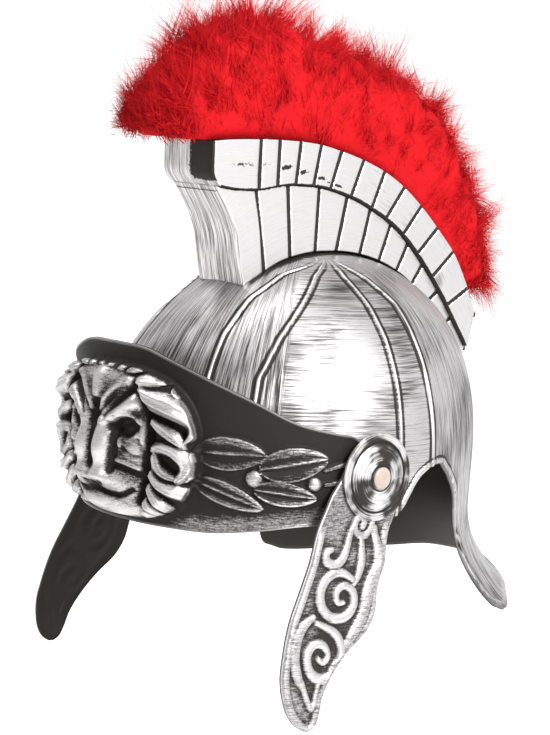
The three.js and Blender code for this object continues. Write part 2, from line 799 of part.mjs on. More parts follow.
function makeRivet(side) {
  const headBase = bossTopX + SEAT_GAP;
  const innerFace = PIVOT.padFace - PIVOT.padDepth - SEAT_GAP;
  const innerEnd = innerFace - RIVET.innerHeadHeight;
  const profile = [
    [0, innerEnd],
    [RIVET.innerHeadRadius * 0.8, innerEnd],
    [RIVET.innerHeadRadius, innerFace],
    [RIVET.shankRadius, innerFace],
    [RIVET.shankRadius, headBase],
    [RIVET.headRadius, headBase],
    [RIVET.headRadius * 0.93, headBase + RIVET.headHeight * 0.6],
    [RIVET.headRadius * 0.6, headBase + RIVET.headHeight],
    [0, headBase + RIVET.headHeight],
  ];
  return turnedAcross(profile, 10, side);
}

// Crest holder

// Side view: forward and backward places as shares of the front or rear reach, and heights as
// shares of the lip's height above the origin
const CREST_FRONT = [
  { reach: 0.64, up: -0.48 },
  { reach: 0.705, up: -0.12 },
  { reach: 0.74, up: 0.12 },
  { reach: 0.785, up: 0.28 },
  { reach: 0.845, up: 0.41 },
  { reach: 0.93, up: 0.58 },
  { reach: 0.975, up: 0.65 },
  { reach: 0.99, up: 0.71 },
  { reach: 1, up: 0.98 },
];
const CREST_TOP = [
  { along: -1, up: 0.98 },
  { along: -0.9, up: 1 },
  { along: -0.63, up: 1.025 },
  { along: -0.45, up: 1.033 },
  { along: -0.16, up: 1.018 },
  { along: 0.022, up: 0.97 },
  { along: 0.168, up: 0.9 },
  { along: 0.317, up: 0.798 },
  { along: 0.442, up: 0.67 },
  { along: 0.572, up: 0.487 },
  { along: 0.706, up: 0.257 },
  { along: 0.827, up: 0.02 },
  { along: 0.922, up: -0.263 },
  { along: 1, up: -0.53 },
];
const CREST_MIDDLE = [
  { along: -0.78, up: 0.56 },
  { along: -0.6, up: 0.57 },
  { along: -0.376, up: 0.628 },
  { along: -0.158, up: 0.631 },
  { along: 0.08, up: 0.565 },
  { along: 0.258, up: 0.442 },
  { along: 0.462, up: 0.219 },
  { along: 0.68, up: -0.184 },
  { along: 0.803, up: -0.468 },
  { along: 0.9, up: -0.78 },
];

// Joints between the blocks of each tier, as places along the crest at their two ends
const UPPER_JOINTS = [
  { high: -0.626, low: -0.613 },
  { high: -0.476, low: -0.467 },
  { high: -0.306, low: -0.322 },
  { high: -0.138, low: -0.177 },
  { high: 0.026, low: -0.035 },
  { high: 0.169, low: 0.107 },
  { high: 0.309, low: 0.245 },
  { high: 0.446, low: 0.343 },
  { high: 0.568, low: 0.464 },
  { high: 0.688, low: 0.57 },
  { high: 0.81, low: 0.681 },
  { high: 0.932, low: 0.8 },
];
const LOWER_JOINTS = [
  { high: -0.615, low: -0.498 },
  { high: -0.362, low: -0.299 },
  { high: -0.103, low: -0.097 },
  { high: 0.103, low: 0.06 },
  { high: 0.256, low: 0.211 },
  { high: 0.397, low: 0.339 },
  { high: 0.52, low: 0.46 },
  { high: 0.627, low: 0.57 },
  { high: 0.746, low: 0.68 },
  { high: 0.853, low: 0.784 },
];

function crestY(along) {
  return along < 0 ? along * CREST.front : along * CREST.rear;
}

function crestLine(rows) {
  return rows.map((row) => new THREE.Vector2(crestY(row.along), row.up * CREST.lipTop));
}

function upAt(rows, along) {
  return lookup(rows, 'along', along, 'up') * CREST.lipTop;
}

// A side view drawn in Y and Z, given a width across the helmet
function acrossHelmet(outline, halfWidth) {
  const geometry = new THREE.ExtrudeGeometry(new THREE.Shape(outline), {
    depth: 2 * halfWidth,
    bevelEnabled: false,
  });
  geometry.rotateX(Math.PI / 2).rotateZ(Math.PI / 2);
  geometry.translate(-halfWidth, 0, 0);
  return solidFrom(geometry);
}

function crestFrontLine(from) {
  return CREST_FRONT.slice(from).map(({ reach, up }) => {
    return new THREE.Vector2(-reach * CREST.front, up * CREST.lipTop);
  });
}

function crestOutline(upperOnly, inset) {
  const top = crestLine(CREST_TOP);
  const front = crestFrontLine(upperOnly ? 5 : 0);
  const middle = crestLine(CREST_MIDDLE);
  const rear = new THREE.Vector2(0.97 * CREST.rear, -0.87 * CREST.lipTop);
  const heel = new THREE.Vector2(0.86 * CREST.rear, -1.25 * CREST.lipTop);
  const underside = upperOnly
    ? [...middle.slice().reverse()]
    : [heel, new THREE.Vector2(0, -0.6 * CREST.lipTop)];
  const edge = [...front, ...top.slice(1), rear, ...underside];
  return inset === 0 ? edge : shrink(edge, inset);
}

// Moves each corner of a closed outline inwards by a distance square to its two sides
function shrink(outline, distance) {
  const turn = THREE.ShapeUtils.area(outline) > 0 ? 1 : -1;
  return outline.map((corner, i) => {
    const before = outline[(i + outline.length - 1) % outline.length];
    const after = outline[(i + 1) % outline.length];
    const into = corner.clone().sub(before).normalize();
    const away = after.clone().sub(corner).normalize();
    const normal = new THREE.Vector2(-into.y - away.y, into.x + away.x).normalize();
    const lean = Math.max(0.5, normal.dot(new THREE.Vector2(-into.y, into.x)));
    return corner.clone().addScaledVector(normal, turn * distance / lean);
  });
}

// A thin blade that cuts one joint line into one side of the crest holder
function jointBlade(start, end, halfWidth, side) {
  const lengthways = end.clone().sub(start);
  const blade = new THREE.BoxGeometry(2 * CREST.grooveDepth, CREST.grooveWidth, lengthways.length());
  blade.rotateX(Math.atan2(-lengthways.x, lengthways.y));
  const middle = start.clone().add(end).multiplyScalar(0.5);
  blade.translate(side * halfWidth, middle.x, middle.y);
  return solidFrom(blade);
}

function makeCrest() {
  let outside = acrossHelmet(crestOutline(false, 0), CREST.lowerHalfWidth);
  outside = outside.add(acrossHelmet(crestOutline(true, 0), CREST.upperHalfWidth));
  let hollow = acrossHelmet(crestOutline(false, CREST.wall), CREST.lowerHalfWidth - CREST.wall);
  hollow = hollow.add(skullSeat());
  let solid = outside.subtract(hollow);
  for (const side of [1, -1]) {
    UPPER_JOINTS.forEach(({ high, low }) => {
      const start = new THREE.Vector2(crestY(low), upAt(CREST_MIDDLE, low) + CREST.grooveWidth);
      const end = new THREE.Vector2(crestY(high), upAt(CREST_TOP, high) + CREST.grooveWidth);
      solid = solid.subtract(jointBlade(start, end, CREST.upperHalfWidth, side));
    });
    LOWER_JOINTS.forEach(({ high, low }) => {
      const end = new THREE.Vector2(crestY(high), upAt(CREST_MIDDLE, high) - SEAT_SLACK);
      const start = new THREE.Vector2(crestY(low), upAt(CREST_MIDDLE, low) - 1.1 * CREST.lipTop);
      solid = solid.subtract(jointBlade(start, end, CREST.lowerHalfWidth, side));
    });
  }
  return geometryFrom(solid);
}

// Plume

// Where the plume's underside runs in front of the crest holder's lip, as shares of its longest reach
const PLUME_OVERHANG = [
  { turn: -46, reach: 0.828 },
  { turn: -42.7, reach: 0.778 },
];

// Each lock's turn back from upright round the hub, its reach from the hub as a share of the
// longest, and how far its tip leans
const PLUME_LOCKS = [
  { turn: -36.5, reach: 0.941, lean: 0 },
  { turn: -30, reach: 1, lean: 0 },
  { turn: -22.5, reach: 1, lean: 1 },
  { turn: -14.5, reach: 0.97, lean: 1 },
  { turn: -6, reach: 0.906, lean: 1 },
  { turn: 2.5, reach: 0.867, lean: 2 },
  { turn: 11.5, reach: 0.852, lean: 2 },
  { turn: 20.5, reach: 0.847, lean: 2 },
  { turn: 29.5, reach: 0.837, lean: 2 },
  { turn: 38.5, reach: 0.803, lean: 2 },
  { turn: 47.5, reach: 0.764, lean: 2 },
  { turn: 56.5, reach: 0.719, lean: 2 },
  { turn: 65, reach: 0.69, lean: 2 },
];

// Rings up each lock, as shares of its height, of the plume's half width and of the lock's spread
const LOCK_RINGS = [
  { up: 0, wide: 0.66, thick: 0.9 },
  { up: 0.32, wide: 1, thick: 1.1 },
  { up: 0.72, wide: 0.88, thick: 1.05 },
  { up: 0.93, wide: 0.5, thick: 0.65 },
];

function plumePoint(turn, radius, across) {
  const angle = degToRad(turn);
  return new THREE.Vector3(
    across,
    PLUME.hubBack + radius * Math.sin(angle),
    -PLUME.hubBelow + radius * Math.cos(angle),
  );
}

// The crest holder's top, and the overhang in front of it, as radii round the plume's hub
function plumeRoots() {
  const crest = crestLine(CREST_TOP).map((point) => {
    const back = point.x - PLUME.hubBack;
    const up = point.y + PLUME.hubBelow;
    return { turn: THREE.MathUtils.radToDeg(Math.atan2(back, up)), radius: Math.hypot(back, up) };
  });
  const overhang = PLUME_OVERHANG.map(({ turn, reach }) => ({ turn, radius: reach * PLUME.reach }));
  return [...overhang, ...crest];
}

function plumeBacking(roots) {
  const onCrest = roots.slice(PLUME_OVERHANG.length);
  const half = PLUME.backingHalfWidth;
  return solidFrom(loftGeometry(onCrest.map(({ turn, radius }) => {
    const low = radius + 2 * SEAT_GAP;
    const high = low + PLUME.backingThickness;
    return [
      plumePoint(turn, low, -half),
      plumePoint(turn, low, half),
      plumePoint(turn, high, half),
      plumePoint(turn, high, -half),
    ];
  })));
}

function plumeLock(lock, roots) {
  const sides = 6;
  const rings = LOCK_RINGS.map((ring) => Array.from({ length: sides }, (_, i) => {
    const angle = 2 * Math.PI * (i + 0.5) / sides;
    const turn = lock.turn + lock.lean * ring.up + PLUME.lockSpread * ring.thick * Math.cos(angle);
    const root = lookup(roots, 'turn', turn, 'radius') + 3 * SEAT_GAP;
    const across = PLUME.halfWidth * ring.wide * Math.sin(angle);
    return plumePoint(turn, lerp(root, lock.reach * PLUME.reach, ring.up), across);
  }));
  rings.push([plumePoint(lock.turn + lock.lean, lock.reach * PLUME.reach, 0)]);
  return solidFrom(loftGeometry(rings));
}

function makePlume() {
  const roots = plumeRoots();
  let solid = plumeBacking(roots);
  PLUME_LOCKS.forEach((lock) => {
    solid = solid.add(plumeLock(lock, roots));
  });
  return geometryFrom(solid);
}

const MATERIALS = {
  silver: { color: 0xb9b7b8, roughness: 0.34, metalness: 0.9 },
  darkSilver: { color: 0x6b6768, roughness: 0.4, metalness: 0.9 },
  rivet: { color: 0xdccfc6, roughness: 0.5, metalness: 0.1 },
  plume: { color: 0xd8101c, roughness: 0.9, metalness: 0 },
};

const helmet = new THREE.Group();

function addPiece(name, geometry, finish) {
  const mesh = new THREE.Mesh(geometry, new THREE.MeshStandardMaterial(MATERIALS[finish]));
  mesh.name = name;
  helmet.add(mesh);
}

const guard = makeGuard();
addPiece('skull', makeSkull(), 'silver');
addPiece('crest_holder', makeCrest(), 'silver');
addPiece('plume', makePlume(), 'plume');
addPiece('visor', makeVisor(), 'darkSilver');
addPiece('cheek_guard_left', guard, 'silver');
addPiece('cheek_guard_right', mirrored(guard), 'silver');
addPiece('boss_left', makeBoss(1), 'silver');
addPiece('boss_right', makeBoss(-1), 'silver');
addPiece('rivet_left', makeRivet(1), 'rivet');
addPiece('rivet_right', makeRivet(-1), 'rivet');

export default helmet;
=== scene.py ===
"""Roman legionary helmet of the costume kind, dressed over its fixed CAD frame.

The bowl, crest holder, visor, cheek guards, bosses and rivets are dense shells that follow the
CAD solids and carry the finer relief, and the plume is a soft body under many curved barbs.
Lengths in the formulas are in millimetres unless a property gives a unit. The front faces -Y and
the wearer's left is +X. The origin is the highest point inside the bowl.
"""

import math

import bmesh
import bpy
import numpy as np
from mathutils import Matrix, Vector


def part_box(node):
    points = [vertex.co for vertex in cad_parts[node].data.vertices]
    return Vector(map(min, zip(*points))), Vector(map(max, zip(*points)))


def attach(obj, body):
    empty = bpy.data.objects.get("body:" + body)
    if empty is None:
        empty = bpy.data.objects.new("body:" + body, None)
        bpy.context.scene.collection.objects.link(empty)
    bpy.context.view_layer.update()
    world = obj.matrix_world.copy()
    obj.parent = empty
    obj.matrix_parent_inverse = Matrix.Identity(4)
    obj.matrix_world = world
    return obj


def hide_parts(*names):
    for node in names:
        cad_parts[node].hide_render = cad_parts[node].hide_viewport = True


bl_info = {
    "name": "Legionary Helmet",
    "version": (1, 0, 0),
    "blender": (4, 5, 0),
    "location": "View3D > Sidebar > Helmet",
    "description": "Builds a crested helmet with a lion visor, cheek guards and a red plume",
    "category": "Object",
}

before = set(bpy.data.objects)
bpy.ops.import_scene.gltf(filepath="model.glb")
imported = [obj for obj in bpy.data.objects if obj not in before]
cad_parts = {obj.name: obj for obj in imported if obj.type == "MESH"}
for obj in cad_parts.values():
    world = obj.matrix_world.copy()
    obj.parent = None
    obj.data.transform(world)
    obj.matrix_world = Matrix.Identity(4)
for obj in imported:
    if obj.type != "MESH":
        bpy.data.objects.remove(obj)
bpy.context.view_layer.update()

MM = 0.001


def corners(node):
    """Lowest and highest corner of a CAD node, in millimetres."""
    low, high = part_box(node)
    return np.array(low) / MM, np.array(high) / MM


SKULL_LOW, SKULL_HIGH = corners("skull")
CREST_LOW, CREST_HIGH = corners("crest_holder")
PLUME_LOW, PLUME_HIGH = corners("plume")
VISOR_HIGH = corners("visor")[1]
GUARD_LOW = corners("cheek_guard_left")[0]
BOSS_LOW, BOSS_HIGH = corners("boss_left")
RIVET_LOW, RIVET_HIGH = corners("rivet_left")

# Sizes that the frame gives
PIVOT_Y, PIVOT_Z = (BOSS_LOW[1:] + BOSS_HIGH[1:]) / 2
WALL = SKULL_HIGH[2]
HALF_LENGTH = -SKULL_LOW[1]
TAB_X = VISOR_HIGH[0]
GUARD_INNER_X = GUARD_LOW[0]
BOSS_RADIUS = (BOSS_HIGH[1] - BOSS_LOW[1]) / 2

# Bowl: sizes and depths below the outside apex, as in the frame
HALF_WIDTH = 91
BOWL_HEIGHT = 110
EQUATOR_Z = WALL - BOWL_HEIGHT
WALL_LENGTH = 1.36 * BOWL_HEIGHT
FRONT_FULLNESS = -0.1
BACK_FULLNESS = 0.32
ARCH_Z = WALL - 106.8
CORNER_Z = WALL - 188
FLARE_TOP_Z = WALL - 134
FLARE_OUT = 28
FLARE_START_TURN, CORNER_TURN, FLARE_EVEN_TURN = 110, 127.5, 155
LEAST_FLARE_DROP = 20
LAST_EVEN_DEPTH = 0.86

# Turn from the front in degrees, and height of the rim from the ear arch down to the corner
RIM = np.array([
    (0, 0.31), (60, 0.32), (84, 0.335), (90, 0.3), (93, 0.2), (96.6, 0.085), (100, 0.033),
    (103, 0.007), (106.5, 0), (108.75, 0.039), (111.2, 0.08), (113.25, 0.126), (115.1, 0.17),
    (116.5, 0.212), (117.6, 0.275), (118.3, 0.372), (118.8, 0.557), (119.3, 0.729), (119.9, 0.84),
    (121, 0.926), (124, 0.975), (127.5, 1), (142, 0.95), (157, 0.89), (169, 0.83), (180, 0.815),
])

# Depth, then the turns of the four ribs of one half
RIBS = np.array([
    (0.0, 70, 75, 81, 87),
    (0.2, 68, 74, 80, 86),
    (0.31, 40, 62, 81, 96),
    (0.44, 28.5, 55, 86, 102),
    (0.58, 25, 47, 88, 102),
    (0.72, 25, 42, 88.5, 102),
])
RIB_HALF_WIDTH = 1.25
RIB_HEIGHT = 1.1

# Crest holder in side view: shares of the front or rear reach, and of the lip's height
CREST_FRONT_REACH = -CREST_LOW[1]
CREST_REAR_REACH = CREST_HIGH[1]
CREST_LIP = 57.5
LOWER_X = 18
UPPER_X = CREST_HIGH[0]
CREST_NOSE = np.array([
    (0.64, -0.48), (0.705, -0.12), (0.74, 0.12), (0.785, 0.28), (0.845, 0.41), (0.93, 0.58),
    (0.975, 0.65), (0.99, 0.71), (1, 0.98),
])
CREST_TOP = np.array([
    (-1, 0.98), (-0.9, 1), (-0.63, 1.025), (-0.45, 1.033), (-0.16, 1.018), (0.022, 0.97),
    (0.168, 0.9), (0.317, 0.798), (0.442, 0.67), (0.572, 0.487), (0.706, 0.257), (0.827, 0.02),
    (0.922, -0.263), (1, -0.53),
])
CREST_MIDDLE = np.array([
    (-0.93, 0.58), (-0.78, 0.56), (-0.6, 0.57), (-0.376, 0.628), (-0.158, 0.631), (0.08, 0.565),
    (0.258, 0.442), (0.462, 0.219), (0.68, -0.184), (0.803, -0.468), (0.97, -0.87),
])
# Joints between blocks, as places along the crest at their high and low ends
UPPER_JOINTS = np.array([
    (-0.626, -0.613), (-0.476, -0.467), (-0.306, -0.322), (-0.138, -0.177), (0.026, -0.035),
    (0.169, 0.107), (0.309, 0.245), (0.446, 0.343), (0.568, 0.464), (0.688, 0.57), (0.81, 0.681),
    (0.932, 0.8),
])
LOWER_JOINTS = np.array([
    (-0.615, -0.498), (-0.362, -0.299), (-0.103, -0.097), (0.103, 0.06), (0.256, 0.211),
    (0.397, 0.339), (0.52, 0.46), (0.627, 0.57), (0.746, 0.68), (0.853, 0.784),
])


def smooth(value, low, high):
    """Smooth step: t = (value - low) / (high - low) held to 0..1, then 3 t^2 - 2 t^3."""
    t = np.clip((value - low) / (high - low), 0, 1)
    return t * t * (3 - 2 * t)


def mix(a, b, share):
    """Straight blend: a + (b - a) times share."""
    return a + (b - a) * share


def curve_through(at, table):
    """Height at each place of a smooth line through a table's (place, height) rows.

    Between two rows it is the cubic with the rows' heights and slopes, where a row's slope is the
    mean of the slopes beside it, or 0 where they have different signs.
    """
    x, y = table[:, 0], table[:, 1]
    step = np.diff(x)
    rise = np.diff(y) / step
    middle = np.where(rise[1:] * rise[:-1] > 0, (rise[1:] + rise[:-1]) / 2, 0)
    slope = np.concatenate([rise[:1], middle, rise[-1:]])
    at = np.clip(at, x[0], x[-1])
    i = np.clip(np.searchsorted(x, at, side="right") - 1, 0, len(step) - 1)
    t = (at - x[i]) / step[i]
    start = (1 + 2 * t) * (1 - t) ** 2 * y[i] + t * (1 - t) ** 2 * step[i] * slope[i]
    end = t * t * (3 - 2 * t) * y[i + 1] + t * t * (t - 1) * step[i] * slope[i + 1]
    return start + end


def unit(vectors):
    """Vectors divided by their length."""
    return vectors / np.maximum(np.linalg.norm(vectors, axis=-1, keepdims=True), 1e-12)


def blurred(field, radius):
    """Mean of a 2-D field over a square of 2 radius + 1 cells, twice, by running sums."""
    for _ in range(2):
        for axis in (0, 1):
            pad = [(radius + 1, radius) if a == axis else (0, 0) for a in (0, 1)]
            total = np.cumsum(np.pad(field, pad, mode="edge"), axis=axis)
            ahead = np.take(total, range(2 * radius + 1, total.shape[axis]), axis=axis)
            behind = np.take(total, range(total.shape[axis] - 2 * radius - 1), axis=axis)
            field = (ahead - behind) / (2 * radius + 1)
    return field


def rounded_line(rows, steps=4):
    """Rows of numbers with steps - 1 more between each two, on the curve whose slope at a row is
    half the way from the row before to the row after."""
    rows = np.array(rows, float)
    before = np.vstack([rows[:1], rows[:-1]])
    after = np.vstack([rows[1:], rows[-1:]])
    slope = (after - before) / 2
    t = (np.arange(steps) / steps)[None, :, None]
    a, b, start, end = rows[:-1, None], rows[1:, None], slope[:-1, None], slope[1:, None]
    line = (1 + 2 * t) * (1 - t) ** 2 * a + t * (1 - t) ** 2 * start + t * t * (3 - 2 * t) * b
    line = line + t * t * (t - 1) * end
    return np.vstack([line.reshape(-1, rows.shape[1]), rows[-1:]])


def line_field(across, up, points, widths):
    """Distance to a rounded line of points, in local widths, with the place along it and the side.

    For each segment the foot is the nearest point on it, t = (p - a).(b - a) / |b - a|^2 held to
    0..1, and the nearest segment wins. The width is blended between the segment's ends.
    """
    widths = np.broadcast_to(np.array(widths, float), (len(points),))
    rows = rounded_line(np.column_stack([points, widths]))
    points, widths = rows[:, :2], rows[:, 2]
    best = np.full(across.shape, 1e9)
    place = np.zeros(across.shape)
    side = np.zeros(across.shape)
    for i in range(len(points) - 1):
        a, b = points[i], points[i + 1]
        d = b - a
        t = np.clip(((across - a[0]) * d[0] + (up - a[1]) * d[1]) / (d @ d), 0, 1)
        dx, dy = across - a[0] - t * d[0], up - a[1] - t * d[1]
        share = np.hypot(dx, dy) / mix(widths[i], widths[i + 1], t)
        nearer = share < best
        best = np.where(nearer, share, best)
        place = np.where(nearer, (i + t) / (len(points) - 1), place)
        side = np.where(nearer, np.sign(d[0] * dy - d[1] * dx), side)
    return best, place, side


def round_top(share):
    """Section of a round band: sqrt(1 - share^2) inside, 0 outside."""
    return np.sqrt(np.maximum(0, 1 - share * share))


def soft_lump(across, up, middle, radii, turn):
    """A mound with soft foot: exp(-(a^2 + b^2)), a and b being the turned places over the radii."""
    c, s = math.cos(math.radians(turn)), math.sin(math.radians(turn))
    dx, dy = across - middle[0], up - middle[1]
    a = (dx * c + dy * s) / radii[0]
    b = (dy * c - dx * s) / radii[1]
    return np.exp(-(a * a + b * b))


# Mesh building


def grid_faces(rows, columns, closed=False):
    """Quads between neighbouring points of a grid, and across its last column where closed."""
    r = np.arange(rows - 1)[:, None]
    c = np.arange(columns if closed else columns - 1)[None, :]
    n = (c + 1) % columns
    quads = np.stack([r * columns + c, (r + 1) * columns + c, (r + 1) * columns + n, r * columns + n], -1)
    return quads.reshape(-1, 4)


def edge_loop(rows, columns, closed):
    """Indices of a grid's edge in order: the last row where closed, else the way round all four sides."""
    if closed:
        last = (rows - 1) * columns + np.arange(columns)
        return np.append(last, last[0])
    top = np.arange(columns)
    right = np.arange(1, rows) * columns + columns - 1
    bottom = (rows - 1) * columns + np.arange(columns - 2, -1, -1)
    left = np.arange(rows - 2, -1, -1) * columns
    return np.concatenate([top, right, bottom, left])


class Build:
    """Collects the points, faces and point values of one piece, in millimetres."""

    def __init__(self):
        self.points = []
        self.faces = []
        self.values = {}
        self.count = 0

    def add(self, points, faces, **values):
        """Adds an island. A value is one number, or an array with one entry for each point."""
        points = np.asarray(points, float).reshape(-1, 3)
        for name, value in values.items():
            value = np.asarray(value, float)
            width = 3 if value.shape[-1:] == (3,) and len(points) != 3 else 1
            if value.size == width:
                value = np.broadcast_to(value, (len(points), width))
            parts = self.values.setdefault(name, [])
            parts.append((self.count, value.reshape(len(points), -1)))
        self.faces += [[i + self.count for i in face] for face in faces]
        self.points.append(points)
        self.count += len(points)

    def shell(self, outer, inner, every, closed=False, outer_values=None, inner_values=None):
        """Closed wall: the outer grid, every n-th point of the inner grid, and the edge between."""
        rows, columns = outer.shape[:2]
        thin = inner[::every, ::every]
        inner_rows, inner_columns = thin.shape[:2]
        faces = grid_faces(rows, columns, closed).tolist()
        shift = rows * columns
        back = grid_faces(inner_rows, inner_columns, closed)[:, ::-1] + shift
        faces += back.tolist()
        out = edge_loop(rows, columns, closed)
        into = edge_loop(inner_rows, inner_columns, closed) + shift
        for k in range(len(into) - 1):
            strip = out[k * every:(k + 1) * every + 1][::-1].tolist()
            faces.append([*strip, int(into[k]), int(into[k + 1])])
        values = {}
        for name, value in (outer_values or {}).items():
            inside = (inner_values or {}).get(name, 0.0)
            width = value.shape[2] if value.ndim == 3 else 1
            first = value.reshape(shift, width)
            if np.ndim(inside) >= 2:
                second = inside[::every, ::every].reshape(-1, width)
            else:
                second = np.full((thin.shape[0] * thin.shape[1], width), float(inside))
            values[name] = np.vstack([first, second]) if width > 1 else np.vstack([first, second])[:, 0]
        self.add(np.vstack([outer.reshape(-1, 3), thin.reshape(-1, 3)]), faces, **values)

    def turned(self, profile, segments, side, **values):
        """Closed turned body on the pivot's axis: x = side times the profile's place, and the
        radius goes round with the angle. The profile is rows of (radius, place), ends on the axis."""
        profile = np.array(profile, float)
        angle = np.linspace(0, 2 * math.pi, segments, endpoint=False)
        radius, place = profile[:, :1], profile[:, 1:]
        points = np.stack([
            np.broadcast_to(side * place, (len(profile), segments)),
            PIVOT_Y + radius * np.cos(angle)[None, :],
            PIVOT_Z + radius * np.sin(angle)[None, :],
        ], -1)
        faces = grid_faces(len(profile), segments, closed=True)
        self.add(points, faces.tolist(), **values)

    def piece(self, name, material, body, replaced=()):
        """Makes the object, merges doubled points, points its faces outwards and puts it on its body."""
        points = np.vstack(self.points) * MM
        mesh = bpy.data.meshes.new(name)
        mesh.from_pydata(points, [], self.faces)
        for label, parts in self.values.items():
            width = parts[0][1].shape[1]
            whole = np.zeros((self.count, width), np.float32)
            for start, value in parts:
                whole[start:start + len(value)] = value
            kind, key = ("FLOAT_VECTOR", "vector") if width == 3 else ("FLOAT", "value")
            mesh.attributes.new(label, kind, "POINT").data.foreach_set(key, whole.ravel())
        work = bmesh.new()
        work.from_mesh(mesh)
        bmesh.ops.remove_doubles(work, verts=work.verts, dist=1e-7)
        if work.calc_volume(signed=True) < 0:
            bmesh.ops.reverse_faces(work, faces=work.faces)
        work.to_mesh(mesh)
        work.free()
        mesh.polygons.foreach_set("use_smooth", np.ones(len(mesh.polygons), bool))
        mesh.materials.append(material)
        made = bpy.data.objects.new(name, mesh)
        bpy.context.scene.collection.objects.link(made)
        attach(made, body)
        if replaced:
            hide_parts(*replaced)
        return made


# Bowl


def fullness(turn):
    """Power of the bowl's plan: 2 is an ellipse, less is pointed in front and more is full behind."""
    ahead = np.cos(np.radians(turn))
    return 2 + FRONT_FULLNESS * smooth(ahead, 0.1, 0.9) + BACK_FULLNESS * smooth(-ahead, -0.1, 0.9)


def rim_height(turn):
    """Height of the rim: the ear arch's height blended down to the corner by the rim's table."""
    return mix(ARCH_Z, CORNER_Z, curve_through(np.abs(turn), RIM))


def rim_depth(turn):
    """Depth of the rim: acos of the height's share above the equator, or 1 and more below it."""
    z = rim_height(turn)
    share = np.clip((z - EQUATOR_Z) / BOWL_HEIGHT, 0, 1)
    above = np.arccos(share ** (fullness(turn) / 2)) / (math.pi / 2)
    return np.where(z < EQUATOR_Z, 1 + (EQUATOR_Z - z) / WALL_LENGTH, above)


def bowl_point(turn, depth):
    """Outside of the bowl at a turn from the front and a depth from the apex.

    With lean = depth times 90 degrees and n the fullness, the radius share is sin(lean)^(2/n) and
    the height share cos(lean)^(2/n). Below the equator the wall goes straight down, and the neck
    guard flares out by the square of the way down: to the corner's level in front, and to the rim
    behind.
    """
    power = 2 / fullness(turn)
    lean = np.minimum(depth, 1) * math.pi / 2
    radius = np.sin(lean) ** power
    z = EQUATOR_Z + BOWL_HEIGHT * np.maximum(0, np.cos(lean)) ** power
    z = np.where(depth > 1, EQUATOR_Z - (depth - 1) * WALL_LENGTH, z)
    angle = np.radians(turn)
    x = HALF_WIDTH * np.sin(angle) * radius
    y = -HALF_LENGTH * np.cos(angle) * radius
    down = np.maximum(FLARE_TOP_Z - z, 0)
    by_height = down / (FLARE_TOP_Z - CORNER_Z)
    by_rim = down / np.maximum(FLARE_TOP_Z - rim_height(turn), LEAST_FLARE_DROP)
    share = mix(by_height, by_rim, smooth(np.abs(turn), CORNER_TURN, FLARE_EVEN_TURN))
    grow = np.where(np.abs(turn) > FLARE_START_TURN, FLARE_OUT * share ** 2, 0)
    wider = 1 + grow / np.maximum(np.hypot(x, y), 1)
    return np.stack([x * wider, y * wider, z], -1)


def ring_normals(points):
    """Outward normals of a grid whose columns go all the way round: the cross product of the way
    down a column and the way round a row. The first row is the pole, which points up."""
    down = np.gradient(points, axis=0)
    around = np.roll(points, -1, axis=1) - np.roll(points, 1, axis=1)
    normal = unit(np.cross(down, around))
    normal[0] = (0, 0, 1)
    return normal


def dome_height(x, y):
    """Height of the bowl's outside above a place: its formula solved for z."""
    turn = np.degrees(np.arctan2(x / HALF_WIDTH, -y / HALF_LENGTH))
    n = fullness(turn)
    radius = np.clip(np.hypot(x / HALF_WIDTH, y / HALF_LENGTH), 0, 1)
    lean = np.arcsin(radius ** (n / 2))
    return EQUATOR_Z + BOWL_HEIGHT * np.cos(lean) ** (2 / n)


# Columns of one half of the bowl: cells in each gap between ribs, and beside each rib
GAP_CELLS = (16, 8, 24, 8)
REAR_CELLS = 88
REAR_SHARES = ((0, 0.12, 0.3, 0.64, 0.76, 1), (0, 0.06, 0.165, 0.235, 0.32, 1))
RIB_CELLS = 6
RIB_SPREAD = 3.0
LEAST_LEVEL, LARGEST_RIB_SHARE = 0.05, 0.4


def half_columns(depth):
    """Turns of one half's columns at each depth, with each column's distance from its rib.

    Anchors stand at 0, at both ends of each rib's strip and at 180 degrees, and the columns are
    spread evenly between anchors, closer behind the last rib where the rim is steep.
    """
    ribs = np.stack([np.interp(depth, RIBS[:, 0], RIBS[:, k]) for k in (1, 2, 3, 4)], -1)
    keys = np.concatenate([np.zeros((len(depth), 1)), ribs, np.full((len(depth), 1), 180.0)], 1)
    gaps = np.diff(keys, axis=1)
    level = np.sin(np.minimum(depth, 1) * math.pi / 2)
    spread = np.degrees(RIB_SPREAD / (HALF_WIDTH * np.maximum(level, LEAST_LEVEL)))
    turns, reach = [], []
    previous = keys[:, :1]
    for k in range(1, 5):
        before = np.minimum(spread, LARGEST_RIB_SHARE * gaps[:, k - 1])[:, None]
        after = np.minimum(spread, LARGEST_RIB_SHARE * gaps[:, k])[:, None]
        rib = keys[:, k:k + 1]
        share = np.arange(GAP_CELLS[k - 1]) / GAP_CELLS[k - 1]
        turns.append(mix(previous, rib - before, share))
        reach.append(np.full(turns[-1].shape, 1.0))
        share = np.arange(RIB_CELLS) / RIB_CELLS
        turns.append(mix(rib - before, rib, share))
        reach.append(np.broadcast_to(1 - share, turns[-1].shape))
        turns.append(mix(rib, rib + after, share))
        reach.append(np.broadcast_to(share, turns[-1].shape))
        previous = rib + after
    share = np.linspace(0, 1, REAR_CELLS + 1)
    steep = np.interp(share, REAR_SHARES[0], REAR_SHARES[1])
    turns.append(mix(previous, keys[:, -1:], steep))
    reach.append(np.full(turns[-1].shape, 1.0))
    return np.hstack(turns), np.hstack(reach) * RIB_SPREAD


def both_halves(half, odd):
    """A whole turn of columns: one half, then its mirror without the two shared columns."""
    mirror = half[:, 1:-1][:, ::-1]
    return np.hstack([half, -mirror if odd else mirror])


